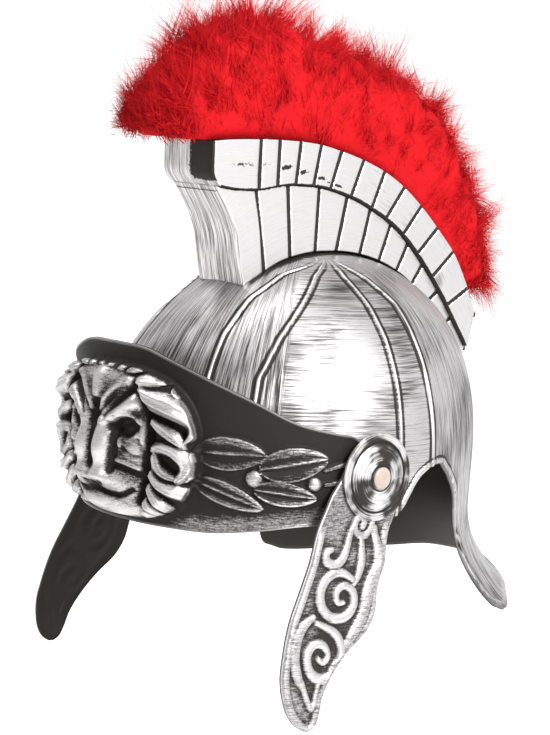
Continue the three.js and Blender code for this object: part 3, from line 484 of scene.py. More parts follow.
def rim_distance(turn, z):
    """Distance to the rim on the unrolled wall, where a turn is as long as on the equator."""
    along = np.linspace(-180, 180, 1441)
    scale = math.pi / 180 * (HALF_WIDTH + HALF_LENGTH) / 2
    line = np.stack([along * scale, rim_height(along)], -1)
    flat = np.stack([turn * scale, z], -1).reshape(-1, 2)
    near = np.empty(len(flat))
    for start in range(0, len(flat), 4000):
        gap = flat[start:start + 4000, None, :] - line[None, :, :]
        near[start:start + 4000] = np.sqrt((gap ** 2).sum(-1)).min(1)
    return near.reshape(turn.shape)


BOWL_ROWS = (64, 40)
EDGE_BEAD = 0.9
BEAD_WIDTH = 3.2
# Places and widths of the painted shade lines at the feet of the ribs and of the edge bead
RIB_FOOT, RIB_FOOT_WIDTH = 1.9, 1.0
BEAD_FOOT, BEAD_FOOT_WIDTH = 0.5, 0.7
PAD_RADIUS, PAD_BACK, PAD_FACE = 7.5, 1.8, 2.1


def build_skull(material):
    """The bowl: its outside with ribs and edge bead, its inside a wall's thickness within."""
    upper, lower = BOWL_ROWS
    fixed = np.concatenate([np.linspace(0, LAST_EVEN_DEPTH, upper + 1), np.full(lower, LAST_EVEN_DEPTH)])
    share = np.concatenate([np.zeros(upper + 1), np.arange(1, lower + 1) / lower])[:, None]
    rim_turns = both_halves(half_columns(np.array([1.0]))[0], True)
    depth = fixed[:, None] + share * (rim_depth(rim_turns) - LAST_EVEN_DEPTH)
    turns, reach = [], []
    for row in range(len(fixed)):
        if share[row, 0] == 0:
            half, near = half_columns(depth[row, :1])
            turns.append(both_halves(half, True)[0])
        else:
            near = half_columns(np.array([1.0]))[1]
            turns.append(rim_turns[0])
        reach.append(both_halves(near, False)[0])
    turn, rib_gap = np.array(turns), np.array(reach)
    point = bowl_point(turn, depth)
    normal = ring_normals(point)
    fade = smooth(depth, 0.16, 0.3)
    rib = np.cos(math.pi / 2 * np.minimum(1, rib_gap / RIB_HALF_WIDTH)) ** 1.2 * fade
    edge = rim_distance(turn, point[..., 2])
    behind = smooth(np.abs(turn), 86, 92)
    bead = round_top(np.clip((edge - BEAD_WIDTH / 2) / (BEAD_WIDTH / 2), -1, 1)) * behind
    raised = point + normal * np.maximum(RIB_HEIGHT * rib, EDGE_BEAD * bead)[..., None]
    inside = point - normal * WALL
    level = np.sin(np.minimum(depth, 1) * math.pi / 2)
    # Painted shade: a dark line along the foot of each rib, carried in the recess value
    recess = np.exp(-((rib_gap - RIB_FOOT) / RIB_FOOT_WIDTH) ** 2) * fade
    # Painted shade: a dark band on the bowl under the crest holder's foot, added to the recess value
    beside = np.abs(point[..., 0]) - LOWER_X
    under = 1 - smooth(beside, 0.5, 4.5)
    under = 0.95 * under * smooth(point[..., 1], -62, -50) * (1 - smooth(point[..., 1], 60, 85))
    recess = np.maximum(recess, under)
    # Painted shade: a dark line along the foot of the edge bead, added to the recess value
    bead_foot_shade = np.exp(-((edge - BEAD_WIDTH - BEAD_FOOT) / BEAD_FOOT_WIDTH) ** 2)
    recess = np.maximum(recess, bead_foot_shade * behind)
    down = depth * math.pi / 2 * (BOWL_HEIGHT + HALF_LENGTH) / 2
    around = np.radians(turn) * HALF_WIDTH
    brush = np.stack([around, down, around * level], -1)
    sector = smooth(np.abs(turn), 50, 51) * (1 - smooth(np.abs(turn), 100, 101))
    build = Build()
    build.shell(raised, inside, 1, closed=True, outer_values={
        "inner": np.zeros(turn.shape), "recess": recess, "raised": np.maximum(rib, bead),
        "brush": brush, "sector": sector,
    }, inner_values={"inner": 1.0})
    pad_back, pad_face = RIVET_LOW[0] + PAD_BACK, TAB_X - PAD_FACE
    for side in (1, -1):
        profile = [(0, pad_back), (PAD_RADIUS, pad_back), (PAD_RADIUS, pad_face), (0, pad_face)]
        build.turned(profile, 32, side, inner=1.0, recess=0.0, raised=0.0, sector=0.0,
                     brush=np.zeros(3))
    return build.piece("skull_shell", material, "helmet", ["skull"])


# Crest holder

# Places across one block, closer together by the joints
BLOCK_SHARES = np.array([
    0, 0.02, 0.045, 0.075, 0.11, 0.16, 0.3, 0.5, 0.7, 0.84, 0.89, 0.925, 0.955, 0.98,
])
ROW_SHARES = np.array([
    0, 0.02, 0.045, 0.08, 0.13, 0.2, 0.3, 0.4, 0.5, 0.6, 0.7, 0.8, 0.87, 0.92, 0.955, 0.98, 1,
])
CORNER = 1.8
GROOVE_DEPTH = 0.7
GROOVE_HALF = 0.75
SKIRT_GAP = 2.0
SKIRT_INSET = 3.0
FOOT_SINK = 0.4
FAR_GAP = 9
LIP_WALL = 2.0
LIP_DEPTH = 3.0
TIER_SINK = (6, 2)
DASH_FRONT, DASH_REAR, DASH_WIDTH = 0.47, 0.13, 0.035


def crest_y(along):
    """Place along the helmet: the share times the front reach, or times the rear reach behind 0."""
    return np.where(along < 0, along * CREST_FRONT_REACH, along * CREST_REAR_REACH)


def nose_y(z):
    """Front line of the crest holder at a height."""
    return -CREST_FRONT_REACH * np.interp(z / CREST_LIP, CREST_NOSE[:, 1], CREST_NOSE[:, 0])


def crest_top(at):
    """Height of the lip at a place along the crest."""
    return CREST_LIP * curve_through(at, CREST_TOP)


def crest_middle(at):
    """Height of the line between the two tiers."""
    return CREST_LIP * curve_through(at, CREST_MIDDLE)


def crest_foot(at):
    """Foot of the lower tier: on the bowl at both ends, and SKIRT_GAP above it between."""
    y = crest_y(at)
    stand = SKIRT_GAP * smooth(at, -0.6, -0.35) * (1 - smooth(at, 0.7, 0.85))
    return dome_height(np.full(np.shape(y), LOWER_X), y) + stand - FOOT_SINK


def tier_side(joints, low_line, high_line, low_ends, high_ends):
    """Side view of one tier's blocks, with each point's gap to the nearest joint.

    A point at share t of block j and share v of the height lies at
    mix(low(t), high(t), v), where low and high follow the tier's two long edges between joints.
    The gap is measured along the block at that height, and is FAR_GAP at both ends of the tier.
    """
    high = np.concatenate([[high_ends[0]], joints[:, 0], [high_ends[1]]])
    low = np.concatenate([[low_ends[0]], joints[:, 1], [low_ends[1]]])
    block = np.repeat(np.arange(len(high) - 1), len(BLOCK_SHARES))
    t = np.tile(BLOCK_SHARES, len(high) - 1)
    block, t = np.append(block, len(high) - 2), np.append(t, 1.0)
    high_at = mix(high[block], high[block + 1], t)
    low_at = mix(low[block], low[block + 1], t)
    v = ROW_SHARES[:, None]
    y = mix(crest_y(low_at), crest_y(high_at), v)
    z = mix(low_line(low_at), high_line(high_at), v)
    low_edge = np.stack([crest_y(low), low_line(low)])
    high_edge = np.stack([crest_y(high), high_line(high)])
    low_width, high_width = np.diff(low_edge)[:, block], np.diff(high_edge)[:, block]
    width = np.hypot(mix(low_width[0], high_width[0], v), mix(low_width[1], high_width[1], v))
    from_front = np.where(block == 0, FAR_GAP, t * width)
    from_rear = np.where(block == block[-1], FAR_GAP, (1 - t) * width)
    return y, z, np.minimum(from_front, from_rear), mix(low_at, high_at, v)


def tier_ring(y, z, gap, half):
    """One closed ring of columns: left side, front round both corners, right side, rear.

    The corners are quarter circles of radius CORNER, and beside a joint the side sinks by
    GROOVE_DEPTH as the gap to the joint falls to nothing.
    """
    sink = GROOVE_DEPTH * (1 - smooth(gap, GROOVE_HALF * 0.6, GROOVE_HALF * 2.2))
    front, rear = nose_y(z[:, :1]), y[:, -1:]
    start = np.clip(1 - np.arange(y.shape[1]) / len(BLOCK_SHARES), 0, 1)
    side_y = y + start * (front + CORNER - y[:, :1])
    finish = np.clip(1 - np.arange(y.shape[1])[::-1] / len(BLOCK_SHARES), 0, 1)
    side_y = side_y - finish * CORNER
    angle = np.linspace(0, math.pi / 2, 7)[1:]
    corner_x = half - CORNER + CORNER * np.cos(angle)
    across = np.linspace(half - CORNER, -(half - CORNER), 13)[1:-1]
    ones = np.ones((len(y), 1))
    front_z, rear_z = z[:, :1], z[:, -1:]
    left = np.stack([-(half - sink), side_y, z], -1)[:, ::-1]
    right = np.stack([half - sink, side_y, z], -1)
    front_corner = np.stack(np.broadcast_arrays(
        ones * corner_x, front + CORNER - CORNER * np.sin(angle), front_z * np.ones(len(angle))), -1)
    rear_corner = np.stack(np.broadcast_arrays(
        ones * corner_x, rear - CORNER + CORNER * np.sin(angle), rear_z * np.ones(len(angle))), -1)
    flip = np.array([-1, 1, 1])
    front_face = np.stack(np.broadcast_arrays(ones * -across, front, front_z), -1)
    rear_face = np.stack(np.broadcast_arrays(ones * across, rear, rear_z), -1)
    ring = np.concatenate([
        left, front_corner * flip, front_face, front_corner[:, ::-1], right,
        rear_corner, rear_face, (rear_corner * flip)[:, ::-1],
    ], 1)
    counts = [left.shape[1], len(angle), len(across), len(angle), right.shape[1],
              len(angle), len(across), len(angle)]
    part = np.repeat([0, 1, 2, 1, 0, 1, 3, 1], counts)
    return ring, part, counts


def ring_values(side, counts):
    """Spreads a side's values over a whole ring, with 0 on its corners and end faces."""
    corner, face = np.zeros((len(side), counts[1])), np.zeros((len(side), counts[2]))
    return np.concatenate([side[:, ::-1], corner, face, corner, side, corner, face, corner], 1)


def build_crest(material):
    """The stepped crest holder: each tier is a closed ring of blocks, capped along its middle."""
    build = Build()
    tiers = [
        (LOWER_JOINTS, crest_foot, crest_middle, (-0.64, 0.9), (-0.93, 0.97), LOWER_X),
        (UPPER_JOINTS, crest_middle, crest_top, (-0.93, 0.97), (-1.0, 1.0), UPPER_X),
    ]
    for number, (joints, low_line, high_line, low_ends, high_ends, half) in enumerate(tiers):
        y, z, gap, along = tier_side(joints, low_line, high_line, low_ends, high_ends)
        ring, part, counts = tier_ring(y, z, gap, half)
        recess = np.exp(-np.maximum(0, gap - 0.5) ** 2 / 0.5)
        v = np.broadcast_to(ROW_SHARES[:, None], y.shape)
        if number == 1:
            dash_at = mix(DASH_FRONT, DASH_REAR, smooth(along, -0.6, 0.05))
            line = np.exp(-((v - dash_at) / DASH_WIDTH) ** 2) * (1 - smooth(along, 0.0, 0.08))
            line = line * smooth(along, -0.95, -0.8) * smooth(gap, 1.2, 2.4)
            recess = np.maximum(recess, 0.8 * line)
            foot_gap = v * np.hypot(y[-1] - y[0], z[-1] - z[0])
            recess = np.maximum(recess, 0.9 * np.exp(-(foot_gap / 0.7) ** 2))
        else:
            # A dark band along the lower tier's top, under the upper tier's overhang: the seam's dark joint,
            # with painted shade under the overhang
            head_gap = (1 - v) * np.hypot(y[-1] - y[0], z[-1] - z[0])
            recess = np.maximum(recess, np.exp(-(head_gap / 0.9) ** 2))
        length = np.cumsum(np.hypot(np.diff(y[8], prepend=y[8, 0]), np.diff(z[8], prepend=z[8, 0])))
        height = np.hypot(y - y[:1], z - z[:1])
        recess = ring_values(recess, counts)
        ends = np.broadcast_to(np.isin(part, (1, 2, 3)).astype(float), recess.shape)
        if number == 1:
            near_top = smooth(ring[..., 2], 34, 38) * smooth(ring[..., 0], -1, 6)
            recess = np.maximum(recess, 0.8 * near_top * (ends > 0) * (ring[..., 1] < 0))
        brush_up = ring_values(height, counts)
        brush_up = np.where(ends > 0, ring[..., 0], brush_up)
        brush_on = ring_values(np.broadcast_to(length, y.shape), counts)
        brush_on = np.where(ends > 0, ring[..., 2], brush_on)
        brush = np.stack([brush_up, brush_on, ring[..., 0] * 0 + number * 7], -1)

        def row(base, width, drop, dark):
            """A further row: the base row at another width, lower by drop, wholly dark or not."""
            moved = ring[base].copy()
            moved[:, 0] *= width
            if width < 1:
                moved[:, 1] += SKIRT_INSET * (np.isin(part, (1, 2)) * 1.0 - (part == 3))
            moved[:, 2] -= drop
            return moved, np.full(len(moved), dark), brush[base], ends[base]

        inner_share = (half - LIP_WALL) / half
        skirt = (LOWER_X - SKIRT_INSET) / half
        drop = TIER_SINK[number]
        # The rows under each tier and inside the lip are wholly dark: painted shade in the gap under each
        # tier and in the hollow of the lip
        extra_low = [row(0, 0.0, drop, 1.0), row(0, skirt, drop, 1.0), row(0, skirt, 0.2, 1.0)]
        extra_high = [row(-1, inner_share, 0.0, 0.2), row(-1, inner_share, LIP_DEPTH, 1.0),
                      row(-1, 0.0, LIP_DEPTH, 1.0)]
        grid = np.stack([*[r[0] for r in extra_low], *ring, *[r[0] for r in extra_high]])
        dark = np.stack([*[r[1] for r in extra_low], *recess, *[r[1] for r in extra_high]])
        lines = np.stack([*[r[2] for r in extra_low], *brush, *[r[2] for r in extra_high]])
        end = np.stack([*[r[3] for r in extra_low], *ends, *[r[3] for r in extra_high]])
        faces = grid_faces(*grid.shape[:2], closed=True)
        build.add(grid, faces.tolist(), recess=dark.ravel(), brush=lines.reshape(-1, 3), end=end.ravel())
    return build.piece("crest_blocks", material, "helmet", ["crest_holder"])


# Visor

VISOR_WALL = 1.8
REACH_TOP, REACH_BOTTOM = 102, 90
PEAK_RISE, BROW_DROP = 59.3, 33.7
SQUARE_TOP, SQUARE_BOTTOM = 2.25, 2.05
TAB_RADIUS = 12
# Turn from the front, and the share of the peak's rise or of the brow's drop
VISOR_TOP = np.array([
    (0, 1), (12, 0.985), (20, 0.92), (35, 0.775), (50, 0.615), (63, 0.46), (75, 0.385), (81, 0.36),
])
VISOR_LOWER = np.array([
    (0, 1), (12, 1), (20, 0.995), (35, 0.98), (50, 0.89), (63, 0.79), (75, 0.72), (81, 0.64),
])
VISOR_ROWS = 141
LION_COLUMNS, SIDE_COLUMNS, TAB_COLUMNS = 116, 108, 16
LION_TURN = 35
LION_MIDDLE_Z = -100
LION_HALF_WIDTH, LION_HALF_HEIGHT, LION_POWER, LION_SLOPE = 54, 42, 2.6, 0.42
PLATFORM, PLATFORM_BACK = 6, 0.75


def visor_point(turn, z):
    """Front of the visor: x is the side's reach times sin(turn)^(2/n), y goes forward from the
    pivots by the reach times cos(turn)^(2/n), and both n and the reach grow with the height."""
    height = np.clip((z - PIVOT_Z + BROW_DROP) / (PEAK_RISE + BROW_DROP), 0, 1)
    power = 2 / mix(SQUARE_BOTTOM, SQUARE_TOP, height)
    reach = mix(REACH_BOTTOM, REACH_TOP, height)
    angle = np.radians(np.abs(turn))
    x = TAB_X * np.sin(angle) ** power * np.sign(turn)
    y = PIVOT_Y - reach * np.maximum(0, np.cos(angle)) ** power
    return np.stack([x, y, z * np.ones_like(x)], -1)


def visor_normal(turn, z):
    """Outward normal of the visor, from the cross product of its two slopes."""
    near = np.clip(turn, -88, 88)
    around = visor_point(near + 0.5, z) - visor_point(near - 0.5, z)
    up = visor_point(near, z + 0.5) - visor_point(near, z - 0.5)
    normal = unit(np.cross(around, up))
    flat = np.stack([np.sign(turn), 0 * turn, 0 * turn], -1)
    return unit(mix(normal, flat, smooth(np.abs(turn), 84, 88)[..., None]))


# Lion's head: places are the distance from the middle and the height above LION_MIDDLE_Z

# Mane locks: centre line, half widths along it, and height over the platform
MANE_LOCKS = (
    (((17, 39), (24, 41.5), (33, 42), (40, 39.5), (43, 36)), (2.5, 3.6, 4, 3.6, 2), 7),
    (((19, 33), (25, 34.6), (32, 34.8), (37, 35.5)), (2.5, 3.6, 3.6, 2), 6.5),
    (((23, 29), (30, 25.5), (38, 23.5), (46, 20.5), (51, 15), (50.5, 9.5), (47, 5.5)),
     (3, 6, 7, 6.5, 5, 3.2, 1), 8.5),
    (((30, 14.5), (35, 11.5), (40, 8.6), (44.5, 5.5), (47.5, 2.5)), (2, 4, 4.4, 3, 0.8), 7),
    (((31, 0.5), (36, 1.8), (42, 0.5), (47.5, -4), (48, -9.5), (44, -14)), (3, 4, 4.6, 5, 4.6, 3), 8),
    (((30.5, -3), (32.5, -8.5), (37, -12), (42, -13.5)), (3.2, 3.6, 3.4, 2.5), 6.5),
    (((29, -12), (34, -17.5), (41, -20), (46.5, -23), (47, -28.5), (42.5, -33.5)),
     (2, 4, 5, 5, 4.2, 2), 8),
    (((28, -20), (31.5, -25.5), (36, -30.5), (40, -35)), (3, 4, 3.6, 2), 7),
    (((24.5, -27), (28, -31.5), (33, -36)), (2.4, 3.2, 1.8), 6),
    (((20, -33), (25, -36.5), (30, -38.2)), (2, 2.6, 1.4), 4.5),
    (((1.8, 37), (2.6, 42), (1.6, 47)), (2.2, 2.4, 0.8), 5.5),
    (((8.6, 38), (10.8, 43), (9.4, 48.2)), (2.4, 2.6, 0.8), 5.5),
    (((14, 37.5), (17.5, 42.5), (16.5, 47)), (2.2, 2.4, 0.8), 5),
)

# Cuts and ridges of the face: line, half widths, and height (a cut is below 0)
FACE_LINES = (
    (((19.5, 37), (22, 31), (26.8, 23.8), (29, 15), (29.4, 6.8), (29.2, -1), (28.4, -10), (26.8, -18),
      (23.5, -28)), 2.6, -6.5),
    (((20.5, 34.5), (16.5, 34), (10.5, 29.5), (5.6, 24), (2.6, 17.5)), 1.7, 2.6),
    (((20.5, 31), (15.5, 25.6), (10.5, 20.2), (6.4, 14.5)), 1.5, -3.4),
    (((14.5, 33), (9.5, 27), (5.2, 20), (3.2, 15)), 1.2, -1.6),
    (((0, 38), (0, 30), (0, 24)), 2.4, 2.2),
    (((0, 20), (0, 15), (0, 11)), 2.6, -4.2),
    (((10.4, 9), (10.6, 2), (10.2, -6), (9.6, -13.5)), 1.5, -3.4),
    (((0, 6), (0, -4), (0, -12)), 1.2, -1.8),
    (((11.5, -7.6), (17, -9), (23.5, -11.2)), 1.4, 1.7),
    (((12, -10), (17, -11.6), (23, -14)), 1.5, -1.8),
    (((9, 6.5), (11.5, 3.6), (13.6, 0.4)), 1.1, 1.4),
    (((10.5, 12.6), (14.2, 15.2), (18.4, 15.6), (22.4, 13.4)), 1.5, 2.4),
    (((10.5, 7), (14, 4.2), (18.2, 4), (21.8, 6.6)), 1.3, 1.5),
    (((2.6, -24.2), (8, -26), (14, -25.8), (19, -22.6)), 1.4, -2.8),
    (((0, -19.5), (0, -24)), 1.3, -2.0),
    (((23, 4), (25.6, -4), (25, -12)), 1.2, -1.2),
    (((15, -1), (19.5, -3.4), (24, -4.4)), 1.1, -1.0),
)

# Mounds of the face: middle, half sizes, turn and height (a hollow is below 0)
FACE_MOUNDS = (
    ((0, -2), (25, 34), 0, 8.0),
    ((0, 30), (14, 10), 0, 2.6),
    ((19.5, 22.5), (8.5, 4.6), 38, 5.4),
    ((8.6, 15.6), (6.5, 3.6), 40, 4.6),
    ((16.2, 9.6), (6.4, 5.0), 8, -7.0),
    ((16.4, 9.2), (3.4, 2.7), 8, 4.2),
    ((24.4, 9), (4.2, 8), -8, 3.2),
    ((21, -3), (7.5, 7.5), 0, 3.2),
    ((5.2, -2), (4.6, 14), 0, 8.6),
    ((0, -16.4), (8.4, 4.6), 0, 6.6),
    ((4.6, -19.6), (2.3, 1.7), 25, -3.4),
    ((11, -18.6), (9.5, 6.6), -18, 5.2),
    ((0, -31), (13, 6.4), 0, 5.2),
    ((17.5, -26), (6, 5), 30, 1.4),
)
EAR = ((43.6, 32.6), 4.8)
EAR_RIM, EAR_HEIGHT = 3.4, 4.5
STRANDS, STRAND_HEIGHT = 3.1, 0.5

# Height above the lion's middle, and how far out the face reaches there
FACE_EDGE = np.array([
    (-40, 19), (-28, 24), (-18, 27), (-10, 28.6), (-1, 29.3), (6.8, 29.4), (15, 29), (23.8, 26.6),
    (31, 21.8), (36, 19.4), (39, 0), (50, 0),
])


def lion_plan(x, up):
    """Share of the platform's height: a smooth step of 1 - |x / a|^n - |up / b|^n, with a and b the
    half sizes and n the power."""
    within = 1 - (x / LION_HALF_WIDTH) ** LION_POWER - np.abs(up / LION_HALF_HEIGHT) ** LION_POWER
    return smooth(within, 0, LION_SLOPE)


def line_side(x, up):
    """How far a place lies outside the face: its distance from the middle less the face's edge."""
    return x - np.interp(up, FACE_EDGE[:, 0], FACE_EDGE[:, 1])


def lion_height(s, z):
    """Relief of the lion's head over the visor, and a mask of where the head is.

    A flat-topped platform carries the face, a sum of mounds and lines, and the mane, the highest
    of its locks. A lock's section is a round top with strands, cos(phase) across it.
    """
    x, up = np.abs(s), z - LION_MIDDLE_Z
    body = lion_plan(x, up)
    face = np.zeros_like(x)
    for middle, radii, turn, height in FACE_MOUNDS:
        face = face + height * soft_lump(x, up, middle, radii, turn)
    for points, width, height in FACE_LINES:
        share, _, _ = line_field(x, up, points, width)
        face = face + height * np.exp(-share ** 2)
    mane = np.zeros_like(x)
    for points, widths, height in MANE_LOCKS:
        share, place, side = line_field(x, up, points, widths)
        phase = STRANDS * math.pi * share * side + 2.2 * math.sin(height) + 3 * place
        strand = STRAND_HEIGHT * np.cos(phase)
        band = round_top(share) * height * (0.82 + 0.18 * np.sin(math.pi * place))
        mane = np.maximum(mane, band + strand * smooth(1 - share, 0, 0.4))
    ear_gap = np.hypot(x - EAR[0][0], up - EAR[0][1])
    ear = EAR_RIM * np.exp(-((ear_gap - EAR[1]) / 1.3) ** 2) + EAR_HEIGHT * smooth(-ear_gap, -6.5, -4.5)
    mane = np.maximum(mane, ear)
    inside = 1 - smooth(line_side(x, up), -1.5, 1.5)
    relief = mix(mane, face, inside)
    head = smooth(body, 0.02, 0.3)
    return PLATFORM * body + relief * head, head


# Laurel of one side: root, tip and half width of each leaf; middle and radius of each berry
LEAVES = (
    ((49, -100), (86.6, -99.2), 9.2),
    ((47.4, -114.6), (85, -127), 6.2),
    ((83, -106.5), (119.4, -99.6), 9.4),
    ((80, -117), (113.4, -120.4), 6.6),
)
BERRIES = (((80.2, -111.4), 4.9), ((112, -112.8), 4.2))
STUBS = (((118, -105.6), (129, -102.4)), ((118, -113.2), (129, -111.4)))
LEAF_RIM, LEAF_VEIN, LEAF_SWELL, LEAF_LINE = 2.1, 1.1, 2.2, 0.8
LEAF_LEAST_WIDTH = 0.3
BERRY_HEIGHT = 3.2
STUB_HALF_WIDTH, STUB_HEIGHT = 1.6, 1.4


def laurel_height(s, z):
    """Relief of the leaves, berries and ribbon ends: a leaf is a raised outline and a mid vein
    round two dished halves, a berry a dome with a rim, and a ribbon end a low bar."""
    x = np.abs(s)
    height = np.zeros_like(x)
    for root, tip, half in LEAVES:
        d = np.array(tip) - np.array(root)
        length = np.hypot(*d)
        t = ((x - root[0]) * d[0] + (z - root[1]) * d[1]) / length ** 2
        off = ((z - root[1]) * d[0] - (x - root[0]) * d[1]) / length
        width = half * np.sin(math.pi * np.clip(t, 0, 1) ** 0.85) ** 0.62
        width = np.maximum(width, LEAF_LEAST_WIDTH)
        share = np.abs(off) / width
        within = (t > 0) & (t < 1) & (share < 1.25)
        rim = LEAF_RIM * np.exp(-((share - 0.88) * width / LEAF_LINE) ** 2)
        vein = LEAF_VEIN * np.exp(-(off / LEAF_LINE) ** 2) * (1 - t)
        swell = np.where(off > 0, 1.0, 0.75)
        dish = LEAF_SWELL * swell * smooth(1 - share, 0, 0.3) * (0.6 + 0.6 * t)
        dish = dish - 0.9 * np.exp(-((share - 0.3) / 0.22) ** 2)
        height = np.maximum(height, np.where(within, np.maximum(rim, dish + vein), 0))
    for middle, radius in BERRIES:
        gap = np.hypot(x - middle[0], z - middle[1])
        height = np.maximum(height, BERRY_HEIGHT * round_top(gap / radius))
    for start, end in STUBS:
        share, _, _ = line_field(x, z, (start, end), STUB_HALF_WIDTH)
        height = np.maximum(height, STUB_HEIGHT * smooth(1 - share, 0, 0.5))
    return height


def edge_height(table, whole, turn, back):
    """Height of an edge from the pivots' level: the table's share of the whole, then the tab's arc."""
    last_turn, last = table[-1]
    along = np.abs(turn)
    sheet = whole * curve_through(along, table)
    tab = np.sqrt(np.maximum(0, TAB_RADIUS ** 2 - back ** 2)) * math.copysign(1, whole)
    tail = mix(whole * last, tab, smooth(along, last_turn, 90))
    return np.where(along <= last_turn, sheet, tail)


def build_visor(material):
    """The visor: one plate with the lion's head and laurel raised on its front."""
    lion = np.linspace(0, LION_TURN, LION_COLUMNS + 1)
    side = np.linspace(LION_TURN, 90, SIDE_COLUMNS + 1)[1:]
    half = np.concatenate([lion, side, np.full(TAB_COLUMNS, 90.0)])
    tab_angle = np.linspace(0, math.pi / 2, TAB_COLUMNS + 1)[1:]
    back = np.concatenate([np.zeros(len(lion) + len(side)), TAB_RADIUS * np.sin(tab_angle)])
    turn = np.concatenate([-half[:0:-1], half])[None, :]
    back = np.concatenate([back[:0:-1], back])[None, :]
    down = np.linspace(0, 1, VISOR_ROWS)[:, None]
    top = edge_height(VISOR_TOP, PEAK_RISE, turn, back)
    low = edge_height(VISOR_LOWER, -BROW_DROP, turn, back)
    z = PIVOT_Z + mix(top, low, down)
    turn = np.broadcast_to(turn, z.shape)
    base = visor_point(turn, z)
    base[..., 1] += back
    normal = visor_normal(turn, z)
    s = np.radians(turn) * TAB_X + np.sign(turn) * back
    rim_gap = np.minimum(np.abs(z - PIVOT_Z - top), np.abs(z - PIVOT_Z - low))
    rim = smooth(rim_gap, 0, 5)
    lion_relief, head = lion_height(s, z)
    laurel = laurel_height(s, z) * smooth(rim_gap, 1, 3)
    height = lion_relief * rim + laurel
    edge = 0.6 * np.exp(-(rim_gap / 1.2) ** 2)
    outer = base + normal * (height + edge)[..., None]
    sunk = PLATFORM_BACK * PLATFORM * lion_plan(np.abs(s), z - LION_MIDDLE_Z)
    inner = base + normal * (sunk * rim - VISOR_WALL)[..., None]
    fine = height - blurred(height, 4)
    broad = height - blurred(height, 12)
    by_brow = z - PIVOT_Z - low
    wear = 0.55 * (1 - smooth(by_brow, 4, 15)) + 0.25 * smooth(height, 0.2, 1.5) * (1 - head)
    build = Build()
    build.shell(outer, inner, 4, outer_values={
        "inner": np.zeros(z.shape), "proud": 0.55 * fine + 0.3 * broad, "relief": height,
        "wear": wear, "edge": np.exp(-(rim_gap / 0.7) ** 2), "brush": np.stack([z, s, height], -1),
    }, inner_values={"inner": 1.0})
    return build.piece("visor_plate", material, "visor", ["visor"])


# Cheek guards

GUARD_WALL = 1.8
GUARD_LENGTH, GUARD_REACH = 126, 64
GUARD_X = GUARD_INNER_X + GUARD_WALL
SPLAY, DISC_RADIUS, TOE_IN, TOE_IN_CENTRE = 0.16, 30, 0.15, 40
# Share of the length down from the pivot, and share of the reach to each edge, backwards above 0
GUARD_FRONT = np.array([
    (-0.16, -0.08), (-0.12, -0.23), (0, -0.355), (0.1, -0.49), (0.19, -0.6), (0.33, -0.69), (0.44, -0.785),
    (0.55, -0.885), (0.62, -0.93), (0.7, -0.965), (0.79, -0.99), (0.87, -0.97), (0.94, -0.915),
    (0.985, -0.83), (1, -0.77),
])
GUARD_REAR = np.array([
    (-0.16, 0.08), (-0.12, 0.21), (0, 0.3), (0.1, 0.28), (0.19, 0.235), (0.33, 0.08), (0.44, -0.015),
    (0.55, -0.055), (0.62, -0.14), (0.7, -0.33), (0.79, -0.49), (0.87, -0.585), (0.94, -0.625),
    (0.985, -0.67), (1, -0.72),
])
GUARD_ROWS, GUARD_COLUMNS = 241, 121
GUARD_TOP_SHARE, ROW_SWAY = GUARD_FRONT[0, 0], 0.03
BAND_HEIGHT, BAND_MIDDLE, BAND_HALF = 1.2, 2.6, 2.4
GROOVE_SINK, GROOVE_MIDDLE, GROOVE_WIDTH = 0.5, 6.2, 1.1

# Scroll work: line from the pivot (forward, down), half widths and height
SCROLL_LINES = (
    (((1, -19), (0.5, -25), (4.5, -30), (10.5, -29), (12.5, -24), (9, -20), (5.6, -22.6), (7, -25.6)),
     2.2, 1.7),
    (((12, -24), (17, -30), (21, -36), (24.5, -41), (29, -43.4), (34, -41.6), (34.6, -37.4), (31, -35.6)),
     (2, 2.2, 2.4, 2.8, 3, 2.8, 2.4, 1.6), 1.8),
    (((-1.5, -27), (-2.5, -35), (0.5, -44), (6, -53), (9.5, -62), (12, -70), (17.5, -78), (23.5, -84)),
     (2.4, 3.2, 3.8, 4, 4, 4, 3.6, 2), 1.7),
    (((8, -33), (11, -41), (14, -49), (17, -54)), (2, 2.6, 2.4, 1.2), 1.5),
    (((18, -51), (25, -47.4), (33, -49), (38.4, -56), (37.6, -64.5), (31.4, -70), (23, -69.6), (17.6, -64),
      (18, -57), (23.6, -54), (28.4, -57.4), (27.6, -62.4), (24, -62.6)),
     (2, 2.6, 2.9, 3, 3, 3, 3, 2.8, 2.6, 2.4, 2.2, 1.8, 1.4), 1.9),
    (((41, -72), (35, -74.6), (29.4, -78), (26, -84), (26.6, -92), (32, -98.6), (40, -100), (46.4, -95.6),
      (47.6, -88), (43, -82.8), (37, -83.6), (34.6, -88.4), (37.6, -92), (40.6, -90)),
     (1.6, 2.2, 2.6, 2.8, 2.9, 3, 3, 3, 2.8, 2.6, 2.4, 2, 1.8, 1.4), 1.9),
    (((43, -69), (49.4, -73), (54, -80), (55.6, -89), (53.6, -98), (50.6, -104)),
     (1.6, 3, 3.6, 3.6, 3, 1.4), 1.6),
    (((51, -101), (48.8, -108), (45.4, -114.6), (42.6, -108), (41, -102.6)),
     (1.6, 1.8, 1.7, 1.8, 1.5), 1.5),
)


def guard_surface(y, z):
    """Outside of a cheek guard: flat under the boss, leaning out with the distance from the pivot
    past the disc, and toeing in towards the front edge below it."""
    radius = np.hypot(y - PIVOT_Y, z - PIVOT_Z)
    lean = SPLAY * np.maximum(0, radius - DISC_RADIUS)
    below = smooth(radius, 1.25 * BOSS_RADIUS, 2 * BOSS_RADIUS)
    return GUARD_X + lean - TOE_IN * (PIVOT_Y - y - TOE_IN_CENTRE) * below


